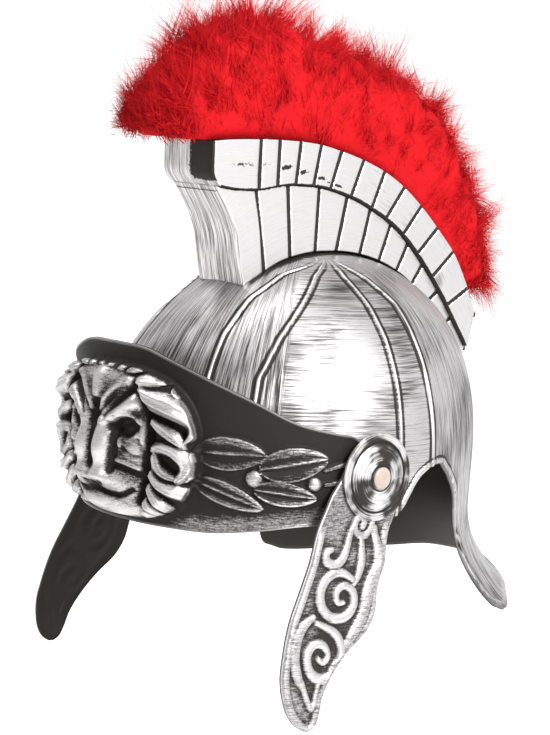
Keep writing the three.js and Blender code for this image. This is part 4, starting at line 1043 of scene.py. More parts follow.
def guard_relief(forward, down, edge):
    """Relief of a guard: a band inside each edge, a groove beside it, and the scroll work."""
    band = BAND_HEIGHT * round_top(np.clip((edge - BAND_MIDDLE) / BAND_HALF, -1, 1))
    band = band * smooth(-down, 20, 34)
    groove = -GROOVE_SINK * np.exp(-((edge - GROOVE_MIDDLE) / GROOVE_WIDTH) ** 2) * smooth(-down, 24, 40)
    scroll = np.zeros_like(edge)
    for points, widths, height in SCROLL_LINES:
        share, _, _ = line_field(forward, down, points, widths)
        scroll = np.maximum(scroll, height * round_top(share) ** 0.8)
    field = smooth(edge, 1.2, 3.0)
    under_boss = smooth(np.hypot(forward, down), BOSS_RADIUS - 3, BOSS_RADIUS + 0.5)
    return np.maximum(band + groove, scroll * field) * under_boss


def build_guards(material):
    """Both cheek guards, the right one a mirror of the left."""
    row = np.linspace(0, 1, GUARD_ROWS)
    share_down = mix(GUARD_TOP_SHARE, 1, row + ROW_SWAY * np.sin(2 * math.pi * row))
    front = curve_through(share_down, GUARD_FRONT)[:, None] * GUARD_REACH
    rear = curve_through(share_down, GUARD_REAR)[:, None] * GUARD_REACH
    across = np.linspace(0, 1, GUARD_COLUMNS)[None, :]
    y = PIVOT_Y + mix(front, rear, across)
    z = PIVOT_Z - GUARD_LENGTH * share_down[:, None] * np.ones_like(y)
    gaps = []
    for line in (front, rear):
        slope = np.gradient(line[:, 0], z[:, 0])[:, None]
        gaps.append(np.abs(y - PIVOT_Y - line) / np.hypot(1, slope))
    edge = np.minimum(*gaps)
    forward, down = PIVOT_Y - y, z - PIVOT_Z
    relief = guard_relief(forward, down, edge)
    rounding = 0.5 * (1 - smooth(edge, 0, 1.1))
    imprint = 0.35 * blurred(relief, 3)
    proud = relief - blurred(relief, 6)
    made = []
    for side, name in ((1, "left"), (-1, "right")):
        base = guard_surface(y, z)
        outer = np.stack([side * (base + relief - rounding), y, z], -1)
        inner = np.stack([side * (base - GUARD_WALL + imprint), y, z], -1)
        build = Build()
        build.shell(outer, inner, 2, outer_values={
            "inner": np.zeros(z.shape), "proud": proud, "relief": relief,
            "wear": 0 * z, "edge": np.exp(-(edge / 0.8) ** 2), "brush": np.stack([z, y, base], -1),
        }, inner_values={"inner": 1.0})
        made.append(build.piece(f"cheek_guard_plate_{name}", material, f"cheek_{name}",
                                [f"cheek_guard_{name}"]))
    return made


# Bosses and rivets

BOSS_EDGE, BOSS_RING_WIDTH = 1.8, 4.7
BOSS_SEGMENTS, RIVET_SEGMENTS = 128, 48
RIVET_CAP, RIVET_CAP_RADIUS, RIVET_SHANK = 1.8, 5.8, 2.2


def build_bosses(material):
    """Both bosses: a flat outer ring with a rolled edge, a groove, and a dished dome to the rivet."""
    base, top = BOSS_LOW[0], BOSS_HIGH[0]
    rim = base + BOSS_EDGE
    ring = BOSS_RADIUS - BOSS_RING_WIDTH
    profile = [
        (0, base), (BOSS_RADIUS - 0.8, base), (BOSS_RADIUS - 0.2, base + 0.25), (BOSS_RADIUS, base + 0.8),
        (BOSS_RADIUS - 0.15, rim - 0.35), (BOSS_RADIUS - 0.6, rim), (BOSS_RADIUS - 1.2, rim + 0.06),
        (BOSS_RADIUS - 2.6, rim - 0.05), (ring + 0.8, rim), (ring + 0.25, rim - 0.25), (ring, rim - 0.6),
        (ring - 0.35, rim - 0.2), (ring - 0.9, rim + 0.25), (ring - 2.4, rim + 0.75), (ring - 5, rim + 1.35),
        (ring - 8, rim + 1.85), (ring - 10.5, rim + 2.15), (7.4, rim + 2.35), (6.6, top), (4, top), (0, top),
    ]
    turned = np.array(profile)
    steps = np.linspace(0, len(turned) - 1, 4 * (len(turned) - 1) + 1)
    order = np.arange(len(turned))
    dense = np.stack([np.interp(steps, order, turned[:, 0]), np.interp(steps, order, turned[:, 1])], -1)
    radius = dense[:, 0]
    recess = np.exp(-((radius - ring) / 0.55) ** 2) + 0.8 * np.exp(-((radius - 6.8) / 0.9) ** 2)
    recess = recess * (dense[:, 1] > rim - 1)
    angle = np.linspace(0, 2 * math.pi, BOSS_SEGMENTS, endpoint=False)
    values = np.repeat(np.minimum(recess, 1), BOSS_SEGMENTS)
    around = np.tile(angle * 12, len(dense))
    brush = np.stack([np.repeat(radius, BOSS_SEGMENTS), around, np.zeros(len(around))], -1)
    made = []
    for side, name in ((1, "left"), (-1, "right")):
        build = Build()
        build.turned(dense, BOSS_SEGMENTS, side, recess=values, brush=brush)
        made.append(build.piece(f"boss_disc_{name}", material, "helmet", [f"boss_{name}"]))
    return made


def build_rivets(material):
    """Both rivets: a shank with a domed pale head outside and a small flat head inside."""
    inner, outer = RIVET_LOW[0], RIVET_HIGH[0]
    head = outer - RIVET_CAP
    arc = np.linspace(0, math.pi / 2, 12)
    cap = [(RIVET_CAP_RADIUS * math.cos(a) ** 0.8, head + 0.35 + 1.45 * math.sin(a)) for a in arc]
    profile = [(0, inner), (3.4, inner), (4.0, inner + 0.4), (4.2, inner + 1.1), (4.2, inner + 1.5),
               (RIVET_SHANK, inner + 1.5), (RIVET_SHANK, head), (5.5, head), *cap]
    profile[-1] = (0, outer)
    made = []
    for side, name in ((1, "left"), (-1, "right")):
        build = Build()
        build.turned(profile, RIVET_SEGMENTS, side)
        made.append(build.piece(f"rivet_head_{name}", material, "helmet", [f"rivet_{name}"]))
    return made


# Plume

HUB_Y, HUB_Z = 5, -60
PLUME_HALF = 27
# Turn back from upright round the hub, and the plume's reach from the hub
PLUME_REACH = np.array([
    (-47, 170), (-45, 181), (-41.5, 188), (-36.5, 193), (-30, 203), (-22.5, 203), (-14.5, 197), (-6, 185),
    (2.5, 176), (11.5, 173), (20.5, 172), (29.5, 170), (38.5, 163), (47.5, 155), (56.5, 146), (65, 139),
    (71, 131), (74, 124),
])
PLUME_BODY_TURNS, PLUME_BODY_GRID = (-45.5, 70), (150, 60)
PLUME_PARTS = (("front", -46, -17), ("middle", -17, 23), ("rear", 23, 69))
# Furthest that a barb may leave the plume's CAD box
PLUME_STRAY = 9
TUFTS = 540
BARBS_IN_TUFT = 42
BARB_STATIONS = np.array([0, 0.22, 0.45, 0.7, 1.0])
BARB_BEND, BARB_HALF_WIDTH = 0.55, 0.21
SEED = 7


def plume_root(turn):
    """Distance from the hub to the crest holder's lip, or to the overhang in front of it."""
    along = np.linspace(-1, 1, 201)
    back = crest_y(along) - HUB_Y
    up = CREST_LIP * curve_through(along, CREST_TOP) - HUB_Z
    turns = np.concatenate([[-47, -43], np.degrees(np.arctan2(back, up))])
    radii = np.concatenate([[170, 160], np.hypot(back, up)])
    return np.interp(turn, turns, radii)


def plume_surface(turn, section, depth):
    """Skin of the plume: section runs 0..pi over the top, and depth scales it towards the root.

    x = width times cos(section), the width growing up the plume, and the distance from the hub is
    mix(root, reach, depth times sin(section)^0.7).
    """
    root = plume_root(turn)
    reach = curve_through(turn, PLUME_REACH)
    rise = np.maximum(np.sin(section), 0) ** 0.7
    radius = mix(root, reach, depth * rise)
    x = PLUME_HALF * depth * (0.66 + 0.34 * rise) * np.sign(np.cos(section)) * np.abs(np.cos(section)) ** 0.8
    angle = np.radians(turn)
    return np.stack([x, HUB_Y + radius * np.sin(angle), HUB_Z + radius * np.cos(angle)], -1)


def plume_normal(turn, section, depth):
    """Outward normal of the plume's skin, from its two slopes."""
    across = plume_surface(turn, section + 0.02, depth) - plume_surface(turn, section - 0.02, depth)
    along = plume_surface(turn + 0.3, section, depth) - plume_surface(turn - 0.3, section, depth)
    return unit(np.cross(across, along))


def build_plume(body_material, barb_material):
    """The plume: a soft closed body, and tufts of curved barbs rooted in it, in three pieces."""
    turn = np.linspace(*PLUME_BODY_TURNS, PLUME_BODY_GRID[0])[:, None]
    section = np.linspace(0, math.pi, PLUME_BODY_GRID[1])[None, :]
    ends = np.minimum(smooth(turn[:, 0], -45.6, -40), smooth(-turn[:, 0], -70.1, -65))
    lumps = 0.03 * np.sin(np.radians(turn) * 34 + 2.1 * section) * np.sin(3 * section + turn * 0.21)
    depth = 0.86 * (0.35 + 0.65 * ends[:, None] ** 0.5) + lumps
    grid = plume_surface(turn + 0 * section, section + 0 * turn, depth)
    build = Build()
    middle = grid.mean(1, keepdims=True)
    first = np.broadcast_to(middle[:1], grid[:1].shape)
    last = np.broadcast_to(middle[-1:], grid[:1].shape)
    grid = np.concatenate([first, grid, last])
    build.add(grid, grid_faces(*grid.shape[:2], closed=True).tolist())
    made = [build.piece("plume_body", body_material, "helmet", ["plume"])]
    random = np.random.default_rng(SEED)
    for part, start, end in PLUME_PARTS:
        turn = random.uniform(start, end, TUFTS)
        section = math.pi * random.uniform(0, 1, TUFTS)
        depth = random.uniform(0.6, 0.88, TUFTS)
        base = plume_surface(turn, section, depth)
        normal = plume_normal(turn, section, depth)
        angle = np.radians(turn)
        outward = np.stack([0 * angle, np.sin(angle), np.cos(angle)], -1)
        lengthways = np.stack([0 * angle, np.cos(angle), -np.sin(angle)], -1)
        sway = random.normal(0.25, 0.5, (TUFTS, 1))
        heading = unit(0.8 * outward + 0.5 * normal + sway * lengthways + random.normal(0, 0.2, (TUFTS, 3)))
        curl = lengthways * random.normal(0.1, 0.6, (TUFTS, 1))
        curl = curl + random.normal(0, 0.3, (TUFTS, 3)) - 0.25 * normal
        length = random.uniform(13, 27, TUFTS)
        tone = random.uniform(0, 1, TUFTS)

        count = TUFTS * BARBS_IN_TUFT
        own = np.repeat(np.arange(TUFTS), BARBS_IN_TUFT)
        root = base[own] + random.normal(0, 2.2, (count, 3))
        way = unit(heading[own] + random.normal(0, 0.15, (count, 3)))
        bend = curl[own] + random.normal(0, 0.16, (count, 3))
        reach = length[own] * random.uniform(0.45, 1.1, count)
        tip = root + reach[:, None] * (way + BARB_BEND * bend)
        over = np.maximum(tip - PLUME_HIGH, PLUME_LOW - tip).max(1) - PLUME_STRAY
        reach *= np.clip(1 - np.maximum(over, 0) / reach, 0.15, 1)
        t = BARB_STATIONS[None, :, None]
        line = root[:, None] + reach[:, None, None] * (way[:, None] * t + BARB_BEND * bend[:, None] * t ** 2)
        ahead = unit(way[:, None] + 2 * BARB_BEND * bend[:, None] * t)
        sideways = unit(np.cross(ahead, unit(random.normal(0, 1, (count, 1, 3)))))
        half = BARB_HALF_WIDTH * random.uniform(0.6, 1.2, (count, 1, 1)) * (1 - 0.9 * t)
        points = np.stack([line - sideways * half, line + sideways * half], 2)
        stations = len(BARB_STATIONS)
        first = (np.arange(count) * stations * 2)[:, None] + 2 * np.arange(stations - 1)[None, :]
        faces = np.stack([first, first + 1, first + 3, first + 2], -1).reshape(-1, 4)
        own_tone = np.clip(tone[own] + random.normal(0, 0.25, count), 0, 1)
        values = np.repeat(own_tone, stations * 2)
        tips = np.tile(np.repeat(BARB_STATIONS, 2), count)
        build = Build()
        build.add(points, faces.tolist(), tone=values, tip=tips)
        made.append(build.piece(f"plume_barbs_{part}", barb_material, "helmet"))
    return made


# Materials


def add(tree, kind, inputs=None, **settings):
    """Makes a node, sets its options and its sockets, and links the sockets given as outputs."""
    made = tree.nodes.new(kind)
    for name, value in settings.items():
        setattr(made, name, value)
    for socket, value in (inputs or {}).items():
        if isinstance(value, bpy.types.NodeSocket):
            tree.links.new(value, made.inputs[socket])
        else:
            made.inputs[socket].default_value = value
    return made


def calculate(tree, operation, *values):
    """One Math node, and its output."""
    inputs = dict(enumerate(values))
    return add(tree, "ShaderNodeMath", inputs, operation=operation).outputs[0]


def mix_colours(tree, share, first, second):
    """One colour Mix node, and its output."""
    inputs = {0: share, 6: first, 7: second}
    return add(tree, "ShaderNodeMix", inputs, data_type="RGBA").outputs[2]


def mix_values(tree, share, first, second):
    """One float Mix node, and its output."""
    inputs = {0: share, 2: first, 3: second}
    return add(tree, "ShaderNodeMix", inputs, data_type="FLOAT").outputs[0]


def step_between(tree, value, low, high):
    """A smooth Map Range from low..high to 0..1, and its output."""
    inputs = {"Value": value, "From Min": low, "From Max": high}
    return add(tree, "ShaderNodeMapRange", inputs, interpolation_type="SMOOTHSTEP").outputs[0]


def noise(tree, place, scale, detail, roughness=0.5, distortion=0.0):
    """One Noise Texture node, and its output."""
    inputs = {"Vector": place, "Scale": scale, "Detail": detail, "Roughness": roughness,
              "Distortion": distortion}
    return add(tree, "ShaderNodeTexNoise", inputs).outputs[0]


def object_place(tree):
    """The place in the object's own coordinates, in metres."""
    return add(tree, "ShaderNodeTexCoord").outputs["Object"]


def add_bump(tree, shader, height, strength, distance):
    """Links a height to the shader's normal through a Bump node."""
    inputs = {"Height": height, "Strength": strength, "Distance": distance}
    tree.links.new(add(tree, "ShaderNodeBump", inputs).outputs[0], shader.inputs["Normal"])


def read_value(tree, name):
    """A point value of the mesh by name."""
    return add(tree, "ShaderNodeAttribute", attribute_name=name).outputs["Fac"]


def read_vector(tree, name):
    """A point vector of the mesh by name."""
    return add(tree, "ShaderNodeAttribute", attribute_name=name).outputs["Vector"]


def new_group(name, inputs, outputs):
    """An empty shader node group with its sockets, and its two end nodes."""
    tree = bpy.data.node_groups.new(name, "ShaderNodeTree")
    for label, kind, default in inputs:
        socket = tree.interface.new_socket(label, in_out="INPUT", socket_type=kind)
        if default is not None:
            socket.default_value = default
    for label, kind in outputs:
        tree.interface.new_socket(label, in_out="OUTPUT", socket_type=kind)
    return tree, tree.nodes.new("NodeGroupInput"), tree.nodes.new("NodeGroupOutput")


def brushed_wash_group():
    """Black wash dragged out in lines, darker where the recess input is high: painted shade on
    the bowl, wash in the bosses' grooves.

    Two noises stretched along the lines are added to a patchy cover and to the recess. Two steps
    of the sum, a thin one and a thick one, and a trace of the finer noise make the wash.
    """
    tree, start, end = new_group("Brushed wash", [
        ("Lines", "NodeSocketVector", None),
        ("Cover", "NodeSocketFloat", 0.5),
        ("Recess", "NodeSocketFloat", 0.0),
        ("Trace", "NodeSocketFloat", 0.6),
    ], [("Wash", "NodeSocketFloat"), ("Height", "NodeSocketFloat")])
    lines = start.outputs["Lines"]
    fine_map = add(tree, "ShaderNodeMapping", {"Vector": lines, "Scale": (2.1, 0.05, 1.0)})
    broad_map = add(tree, "ShaderNodeMapping", {"Vector": lines, "Scale": (0.62, 0.024, 1.0)})
    fine = noise(tree, fine_map.outputs[0], 1.0, 5.0, 0.6, 0.12)
    broad = noise(tree, broad_map.outputs[0], 1.0, 5.0, 0.62, 0.3)
    both = mix_values(tree, 0.45, fine, broad)
    sunk = calculate(tree, "MULTIPLY", start.outputs["Recess"], 0.32)
    cover = calculate(tree, "MULTIPLY", calculate(tree, "SUBTRACT", start.outputs["Cover"], 0.5), 0.5)
    total = calculate(tree, "ADD", calculate(tree, "ADD", both, sunk), cover)
    thin = calculate(tree, "MULTIPLY", step_between(tree, total, 0.49, 0.6), 0.5)
    thick = calculate(tree, "MULTIPLY", step_between(tree, total, 0.56, 0.72), 0.5)
    trace = calculate(tree, "MULTIPLY", step_between(tree, fine, 0.47, 0.66), start.outputs["Trace"])
    wash = calculate(tree, "MAXIMUM", calculate(tree, "ADD", thin, thick), trace)
    tree.links.new(wash, end.inputs["Wash"])
    tree.links.new(calculate(tree, "SUBTRACT", fine, wash), end.inputs["Height"])
    return tree


def patch_group():
    """Soft patches, from 0 to 1, where more or less of the wash was wiped away."""
    tree, start, end = new_group("Wiped patches", [
        ("Place", "NodeSocketVector", None), ("Size", "NodeSocketFloat", 30.0),
    ], [("Patch", "NodeSocketFloat")])
    cloud = noise(tree, start.outputs["Place"], start.outputs["Size"], 2.0)
    tree.links.new(step_between(tree, cloud, 0.3, 0.7), end.inputs["Patch"])
    return tree


def new_material(name):
    """An empty material with its Principled shader and output."""
    material = bpy.data.materials.new(name)
    material.use_nodes = True
    tree = material.node_tree
    tree.nodes.clear()
    shader = tree.nodes.new("ShaderNodeBsdfPrincipled")
    output = tree.nodes.new("ShaderNodeOutputMaterial")
    tree.links.new(shader.outputs[0], output.inputs["Surface"])
    return material, tree, shader


def group_node(tree, group, **inputs):
    """A node of a group with its inputs."""
    named = {label.capitalize(): value for label, value in inputs.items()}
    return add(tree, "ShaderNodeGroup", named, node_tree=group)


SILVER = (0.50, 0.49, 0.495, 1)
VISOR_SILVER = (0.42, 0.41, 0.41, 1)
CREST_SILVER = (0.60, 0.59, 0.59, 1)
WASH = (0.018, 0.016, 0.015, 1)
INSIDE = (0.008, 0.007, 0.006, 1)


def finish_metal(tree, shader, wash, inner, height, silver=SILVER, dark=WASH, strength=0.25, smoothness=0.3):
    """Links a wash and an inside mask to the shader: colour, roughness, metal and bump."""
    colour = mix_colours(tree, wash, silver, dark)
    rough = mix_values(tree, wash, smoothness, 0.55)
    metal = mix_values(tree, wash, 1.0, 0.35)
    if inner is not None:
        colour = mix_colours(tree, inner, colour, INSIDE)
        rough = mix_values(tree, inner, rough, 0.6)
        metal = mix_values(tree, inner, metal, 0.0)
    tree.links.new(colour, shader.inputs["Base Color"])
    tree.links.new(rough, shader.inputs["Roughness"])
    tree.links.new(metal, shader.inputs["Metallic"])
    shader.inputs["Specular IOR Level"].default_value = 0.12
    add_bump(tree, shader, height, strength, 0.0003)


def bowl_material(groups):
    """Brushed silver with black wash, its lines down the front and rear and round the sides, with
    painted shade from the recess value at the rib and bead feet and under the crest holder.
    """
    material, tree, shader = new_material("Brushed silver bowl")
    place = object_place(tree)
    brush = add(tree, "ShaderNodeSeparateXYZ", {0: read_vector(tree, "brush")})
    around, down, ring = brush.outputs
    lengthways = add(tree, "ShaderNodeCombineXYZ", {0: around, 1: down}).outputs[0]
    ringwise = add(tree, "ShaderNodeCombineXYZ", {0: down, 1: ring}).outputs[0]
    patch = group_node(tree, groups["patch"], place=place, size=24.0).outputs[0]
    sector = read_value(tree, "sector")
    cover = mix_values(tree, patch, mix_values(tree, sector, 0.42, 0.34), 0.64)
    # The recess value: painted shade at the feet of the ribs and the edge bead, and under the crest holder
    recess = read_value(tree, "recess")
    first = group_node(tree, groups["wash"], lines=lengthways, cover=cover, recess=recess)
    second = group_node(tree, groups["wash"], lines=ringwise, cover=cover, recess=recess)
    wash = mix_values(tree, sector, first.outputs[0], second.outputs[0])
    grain = noise(tree, place, 520.0, 4.0, 0.65)
    # Painted shade from the recess value, broken up by grain, darkens the bowl in the wash colour
    sunk = calculate(tree, "ADD", recess, mix_values(tree, grain, -0.9, 0.5))
    sunk = calculate(tree, "MULTIPLY", step_between(tree, sunk, 0.3, 0.75), 0.85)
    wash = calculate(tree, "MAXIMUM", wash, sunk)
    # Less wash on the rib and bead tops: wash rubbed off the raised tops, and a painted highlight along them
    raised = step_between(tree, read_value(tree, "raised"), 0.45, 0.95)
    wash = calculate(tree, "MULTIPLY", wash, mix_values(tree, raised, 1.0, 0.65))
    height = mix_values(tree, sector, first.outputs[1], second.outputs[1])
    finish_metal(tree, shader, wash, read_value(tree, "inner"), height)
    return material


def crest_material(groups):
    """Bright silver blocks with black rough-edged joints, and a streaked front, with painted shade
    from the recess value under each tier, inside the lip and along the tiers' seam.
    """
    material, tree, shader = new_material("Silver crest blocks")
    place = object_place(tree)
    lines = read_vector(tree, "brush")
    patch = group_node(tree, groups["patch"], place=place, size=38.0).outputs[0]
    behind = add(tree, "ShaderNodeSeparateXYZ", {0: place}).outputs[1]
    behind = step_between(tree, behind, 0.0, 0.1)
    ends = read_value(tree, "end")
    sides = mix_values(tree, patch, 0.06, mix_values(tree, behind, 0.44, 0.78))
    cover = mix_values(tree, ends, sides, 0.62)
    recess = read_value(tree, "recess")
    streaks = group_node(tree, groups["wash"], lines=lines, cover=cover, recess=0.0, trace=0.12)
    torn = noise(tree, place, 800.0, 3.0, 0.6)
    # The joints and the painted shade of the recess value, with torn edges, as one dark mask
    joint = calculate(tree, "ADD", recess, mix_values(tree, torn, -0.45, 0.45))
    joint = step_between(tree, joint, 0.27, 0.42)
    wash = calculate(tree, "MAXIMUM", streaks.outputs[0], joint)
    finish_metal(tree, shader, wash, None, streaks.outputs[1], silver=CREST_SILVER, smoothness=0.33)
    return material


def relief_material(name, groups, plate, silver, wear, cover):
    """Dark plate with brushed silver on what stands proud.

    The silver is a step of the mesh's proud value, its relief and line noise together, so crests
    are bright and hollows stay dark.
    """
    material, tree, shader = new_material(name)
    place = object_place(tree)
    lines = read_vector(tree, "brush")
    proud = read_value(tree, "proud")
    patch = group_node(tree, groups["patch"], place=place, size=40.0).outputs[0]
    cover = mix_values(tree, patch, cover - 0.16, cover + 0.16)
    streaks = group_node(tree, groups["wash"], lines=lines, cover=cover, recess=0.0, trace=0.25)
    drawn = add(tree, "ShaderNodeMapping", {"Vector": lines, "Scale": (1.5, 0.16, 0.8)})
    drawn = noise(tree, drawn.outputs[0], 1.0, 6.0, 0.7)
    marks = mix_values(tree, 0.35, drawn, noise(tree, place, 900.0, 4.0, 0.7))
    bright = calculate(tree, "MULTIPLY", proud, 0.45)
    bright = calculate(tree, "ADD", bright, mix_values(tree, marks, -1.1, 1.1))
    bright = calculate(tree, "ADD", bright, calculate(tree, "MULTIPLY", read_value(tree, "relief"), 0.03))
    bright = calculate(tree, "ADD", bright, read_value(tree, "wear"))
    bright = step_between(tree, bright, wear - 0.35, wear + 0.45)
    edge = calculate(tree, "MULTIPLY", read_value(tree, "edge"), 0.7)
    bright = calculate(tree, "MAXIMUM", bright, edge)
    wash = calculate(tree, "SUBTRACT", 1.0, bright)
    wash = calculate(tree, "MAXIMUM", wash, calculate(tree, "MULTIPLY", streaks.outputs[0], 0.75))
    height = calculate(tree, "ADD", streaks.outputs[1], marks)
    finish_metal(tree, shader, wash, read_value(tree, "inner"), height, silver=silver, dark=plate,
                 strength=0.35, smoothness=0.3)
    return material


def boss_material(groups):
    """Silver disc with wash in its groove and broken lines round it."""
    material, tree, shader = new_material("Silver boss")
    place = object_place(tree)
    patch = group_node(tree, groups["patch"], place=place, size=70.0).outputs[0]
    streaks = group_node(tree, groups["wash"], lines=read_vector(tree, "brush"),
                         cover=mix_values(tree, patch, 0.34, 1.05), recess=read_value(tree, "recess"))
    finish_metal(tree, shader, streaks.outputs[0], None, streaks.outputs[1], smoothness=0.42)
    return material


def rivet_material():
    """Pale cream plastic with a faint mottle."""
    material, tree, shader = new_material("Cream rivet")
    place = object_place(tree)
    mottle = noise(tree, place, 260.0, 3.0)
    colour = mix_colours(tree, mottle, (0.20, 0.16, 0.135, 1), (0.32, 0.26, 0.22, 1))
    tree.links.new(colour, shader.inputs["Base Color"])
    shader.inputs["Roughness"].default_value = 0.42
    add_bump(tree, shader, mottle, 0.2, 0.0002)
    return material


def down_material(name, deep, bright, barbs):
    """Dyed red down, in two tones by tuft, with a painted highlight that lightens the barbs
    towards their tips.
    """
    material, tree, shader = new_material(name)
    place = object_place(tree)
    cloud = noise(tree, place, 45.0, 5.0, 0.65)
    share = cloud
    if barbs:
        share = mix_values(tree, 0.6, share, read_value(tree, "tone"))
    colour = mix_colours(tree, share, deep, bright)
    if barbs:
        # Painted highlight: the barbs turn a lighter red towards their tips
        tip = step_between(tree, read_value(tree, "tip"), 0.5, 1.0)
        colour = mix_colours(tree, calculate(tree, "MULTIPLY", tip, 0.25), colour, (0.62, 0.015, 0.025, 1))
    tree.links.new(colour, shader.inputs["Base Color"])
    shader.inputs["Roughness"].default_value = 0.75
    shader.inputs["Specular IOR Level"].default_value = 0.1
    shader.inputs["Sheen Weight"].default_value = 0.02
    shader.inputs["Sheen Roughness"].default_value = 0.5
    shader.inputs["Sheen Tint"].default_value = (1.0, 0.35, 0.35, 1)
    if not barbs:
        add_bump(tree, shader, cloud, 0.6, 0.002)
    return material


# Stage

CAMERA_PLACE = (0.9894, -0.8916, 0.0676)
CAMERA_YAW, CAMERA_PITCH, CAMERA_ROLL = 48.454, -5.701, 4.590
FOCAL_PIXELS, LONG_SIDE_PIXELS, SENSOR = 2433.67, 735, 36.0
KEY_PLACE, KEY_AIM, KEY_SIZE = (1.19, 0.03, 0.61), (0.075, -0.044, -0.065), 0.5
OVERHEAD_PLACE, OVERHEAD_SIZE = (-0.3, -0.3, 1.7), 1.2
FLOOR_POINTS, FLOOR_BEND_START, FLOOR_RISE = 61, 0.45, 0.9


def add_camera():
    """The photograph's view: yaw from +Y towards -X, then pitch, then roll about the view line."""
    yaw, pitch, roll = (math.radians(a) for a in (CAMERA_YAW, CAMERA_PITCH, CAMERA_ROLL))
    ahead = Vector((-math.sin(yaw) * math.cos(pitch), math.cos(yaw) * math.cos(pitch), math.sin(pitch)))
    level = Vector((math.cos(yaw), math.sin(yaw), 0))
    above = level.cross(ahead)
    right = level * math.cos(roll) + above * math.sin(roll)
    up = above * math.cos(roll) - level * math.sin(roll)
    data = bpy.data.cameras.new("Photo camera")
    data.sensor_width = SENSOR
    data.lens = FOCAL_PIXELS * SENSOR / LONG_SIDE_PIXELS
    data.clip_start, data.clip_end = 0.05, 60
    camera = bpy.data.objects.new("Photo camera", data)
    turn = Matrix((right, up, -ahead)).transposed().to_4x4()
    camera.matrix_world = Matrix.Translation(CAMERA_PLACE) @ turn
    bpy.context.scene.collection.objects.link(camera)
    bpy.context.scene.camera = camera


def add_softbox(name, place, aim, size, power):
    """A square area light at a place, pointed at another."""
    data = bpy.data.lights.new(name, "AREA")
    data.size = size
    data.energy = power
    light = bpy.data.objects.new(name, data)
    light.location = place
    light.rotation_mode = "QUATERNION"
    light.rotation_quaternion = (Vector(aim) - Vector(place)).to_track_quat("-Z", "Y")
    bpy.context.scene.collection.objects.link(light)


def add_floor(height, reach):
    """A plain pale floor that sweeps up far behind: a flat grid with its edge raised by the square
    of the way outwards."""
    steps = np.linspace(-1, 1, FLOOR_POINTS)
    x, y = np.meshgrid(steps, steps, indexing="ij")
    far = smooth(np.hypot(x, y), FLOOR_BEND_START, 1.0)
    points = np.stack([x * reach, y * reach, height + reach * FLOOR_RISE * far ** 2], -1).reshape(-1, 3)
    mesh = bpy.data.meshes.new("floor")
    mesh.from_pydata(points, [], grid_faces(FLOOR_POINTS, FLOOR_POINTS)[:, ::-1].tolist())
    mesh.polygons.foreach_set("use_smooth", np.ones(len(mesh.polygons), bool))
    material, _, shader = new_material("Pale floor")
    shader.inputs["Base Color"].default_value = (0.96, 0.96, 0.96, 1)
    shader.inputs["Roughness"].default_value = 0.9
    shader.inputs["Emission Color"].default_value = (1, 1, 1, 1)
    shader.inputs["Emission Strength"].default_value = 0.12
    mesh.materials.append(material)
    floor = bpy.data.objects.new("floor", mesh)
    bpy.context.scene.collection.objects.link(floor)


# Add-on


class HelmetStage(bpy.types.PropertyGroup):
    """Sizes and strengths of the stage."""

    floor_height: bpy.props.FloatProperty(
        name="Floor height", description="Height of the floor", default=-0.45, unit="LENGTH")
    floor_reach: bpy.props.FloatProperty(
        name="Floor reach", description="Half the width of the floor", default=9.0, unit="LENGTH")
    world_strength: bpy.props.FloatProperty(
        name="World strength", description="Strength of the even white light", default=0.95)
    key_power: bpy.props.FloatProperty(
        name="Key power", description="Power of the main softbox in watts", default=34.0)
    fill_power: bpy.props.FloatProperty(
        name="Fill power", description="Power of the overhead softbox in watts", default=30.0)


class HelmetFinish(bpy.types.PropertyGroup):
    """Colours of the finishes."""

    plume_deep: bpy.props.FloatVectorProperty(
        name="Plume, deep", description="Red of the plume's depths", subtype="COLOR", size=4,
        default=(0.25, 0.001, 0.003, 1), min=0, max=1)
    plume_bright: bpy.props.FloatVectorProperty(
        name="Plume, bright", description="Red of the plume's outer barbs", subtype="COLOR", size=4,
        default=(0.37, 0.0015, 0.004, 1), min=0, max=1)
    visor_plate: bpy.props.FloatVectorProperty(
        name="Visor plate", description="Dark colour of the visor's ground", subtype="COLOR", size=4,
        default=(0.013, 0.012, 0.011, 1), min=0, max=1)


def shared_groups():
    """The shader groups that several finishes use, made once."""
    groups = bpy.data.node_groups
    return {
        "wash": groups.get("Brushed wash") or brushed_wash_group(),
        "patch": groups.get("Wiped patches") or patch_group(),
    }


class HELMET_OT_stage(bpy.types.Operator):
    """Adds the camera, the lights and the floor."""

    bl_idname = "helmet.stage"
    bl_label = "Stage"

    def execute(self, context):
        stage = context.scene.helmet_stage
        add_camera()
        add_softbox("Key softbox", KEY_PLACE, KEY_AIM, KEY_SIZE, stage.key_power)
        add_softbox("Overhead softbox", OVERHEAD_PLACE, (0, 0, 0), OVERHEAD_SIZE, stage.fill_power)
        add_floor(stage.floor_height, stage.floor_reach)
        world = bpy.data.worlds.new("White room")
        world.use_nodes = True
        background = world.node_tree.nodes["Background"]
        background.inputs["Color"].default_value = (1, 1, 1, 1)
        background.inputs["Strength"].default_value = stage.world_strength
        context.scene.world = world
        context.scene.view_settings.view_transform = "Standard"
        return {"FINISHED"}


class HELMET_OT_skull(bpy.types.Operator):
    """Adds the bowl with its ribs, edge bead and neck guard."""

    bl_idname = "helmet.skull"
    bl_label = "Bowl"

    def execute(self, context):
        build_skull(bowl_material(shared_groups()))
        return {"FINISHED"}


class HELMET_OT_crest(bpy.types.Operator):
    """Adds the stepped crest holder."""

    bl_idname = "helmet.crest"
    bl_label = "Crest holder"

    def execute(self, context):
        build_crest(crest_material(shared_groups()))
        return {"FINISHED"}


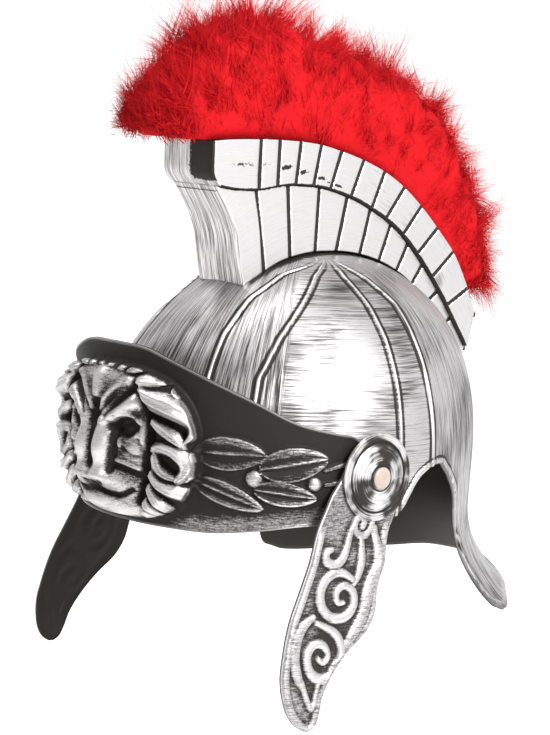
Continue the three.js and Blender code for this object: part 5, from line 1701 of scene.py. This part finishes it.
class HELMET_OT_visor(bpy.types.Operator):
    """Adds the visor with its lion's head and laurel."""

    bl_idname = "helmet.visor"
    bl_label = "Visor"

    def execute(self, context):
        plate = tuple(context.scene.helmet_finish.visor_plate)
        build_visor(relief_material("Dark visor relief", shared_groups(), plate, VISOR_SILVER, 0.62, 0.5))
        return {"FINISHED"}


class HELMET_OT_guards(bpy.types.Operator):
    """Adds both cheek guards."""

    bl_idname = "helmet.guards"
    bl_label = "Cheek guards"

    def execute(self, context):
        build_guards(relief_material("Silver cheek relief", shared_groups(), WASH, SILVER, 0.06, 0.5))
        return {"FINISHED"}


class HELMET_OT_bosses(bpy.types.Operator):
    """Adds the bosses and the rivets."""

    bl_idname = "helmet.bosses"
    bl_label = "Bosses and rivets"

    def execute(self, context):
        build_bosses(boss_material(shared_groups()))
        build_rivets(rivet_material())
        return {"FINISHED"}


class HELMET_OT_plume(bpy.types.Operator):
    """Adds the red plume."""

    bl_idname = "helmet.plume"
    bl_label = "Plume"

    def execute(self, context):
        finish = context.scene.helmet_finish
        deep, bright = tuple(finish.plume_deep), tuple(finish.plume_bright)
        build_plume(down_material("Red down body", deep, bright, False),
                    down_material("Red down barbs", deep, bright, True))
        return {"FINISHED"}


class HELMET_PT_panel(bpy.types.Panel):
    """Lists the steps that build the helmet."""

    bl_label = "Helmet"
    bl_idname = "HELMET_PT_panel"
    bl_space_type = "VIEW_3D"
    bl_region_type = "UI"
    bl_category = "Helmet"

    def draw(self, context):
        for step in STEPS:
            self.layout.operator(step)
        for group in (context.scene.helmet_stage, context.scene.helmet_finish):
            for name in group.bl_rna.properties.keys():
                if name not in ("rna_type", "name"):
                    self.layout.prop(group, name)


STEPS = (
    "helmet.skull",
    "helmet.crest",
    "helmet.visor",
    "helmet.guards",
    "helmet.bosses",
    "helmet.plume",
    "helmet.stage",
)

CLASSES = (
    HelmetStage,
    HelmetFinish,
    HELMET_OT_skull,
    HELMET_OT_crest,
    HELMET_OT_visor,
    HELMET_OT_guards,
    HELMET_OT_bosses,
    HELMET_OT_plume,
    HELMET_OT_stage,
    HELMET_PT_panel,
)


def register():
    """Registers the classes and hangs the settings on the scene."""
    for made in CLASSES:
        bpy.utils.register_class(made)
    bpy.types.Scene.helmet_stage = bpy.props.PointerProperty(type=HelmetStage)
    bpy.types.Scene.helmet_finish = bpy.props.PointerProperty(type=HelmetFinish)


def unregister():
    """Takes the settings and the classes away again."""
    del bpy.types.Scene.helmet_finish
    del bpy.types.Scene.helmet_stage
    for made in reversed(CLASSES):
        bpy.utils.unregister_class(made)


def main():
    register()
    for step in STEPS:
        group, name = step.split(".")
        getattr(getattr(bpy.ops, group), name)()


if __name__ == "__main__":
    main()
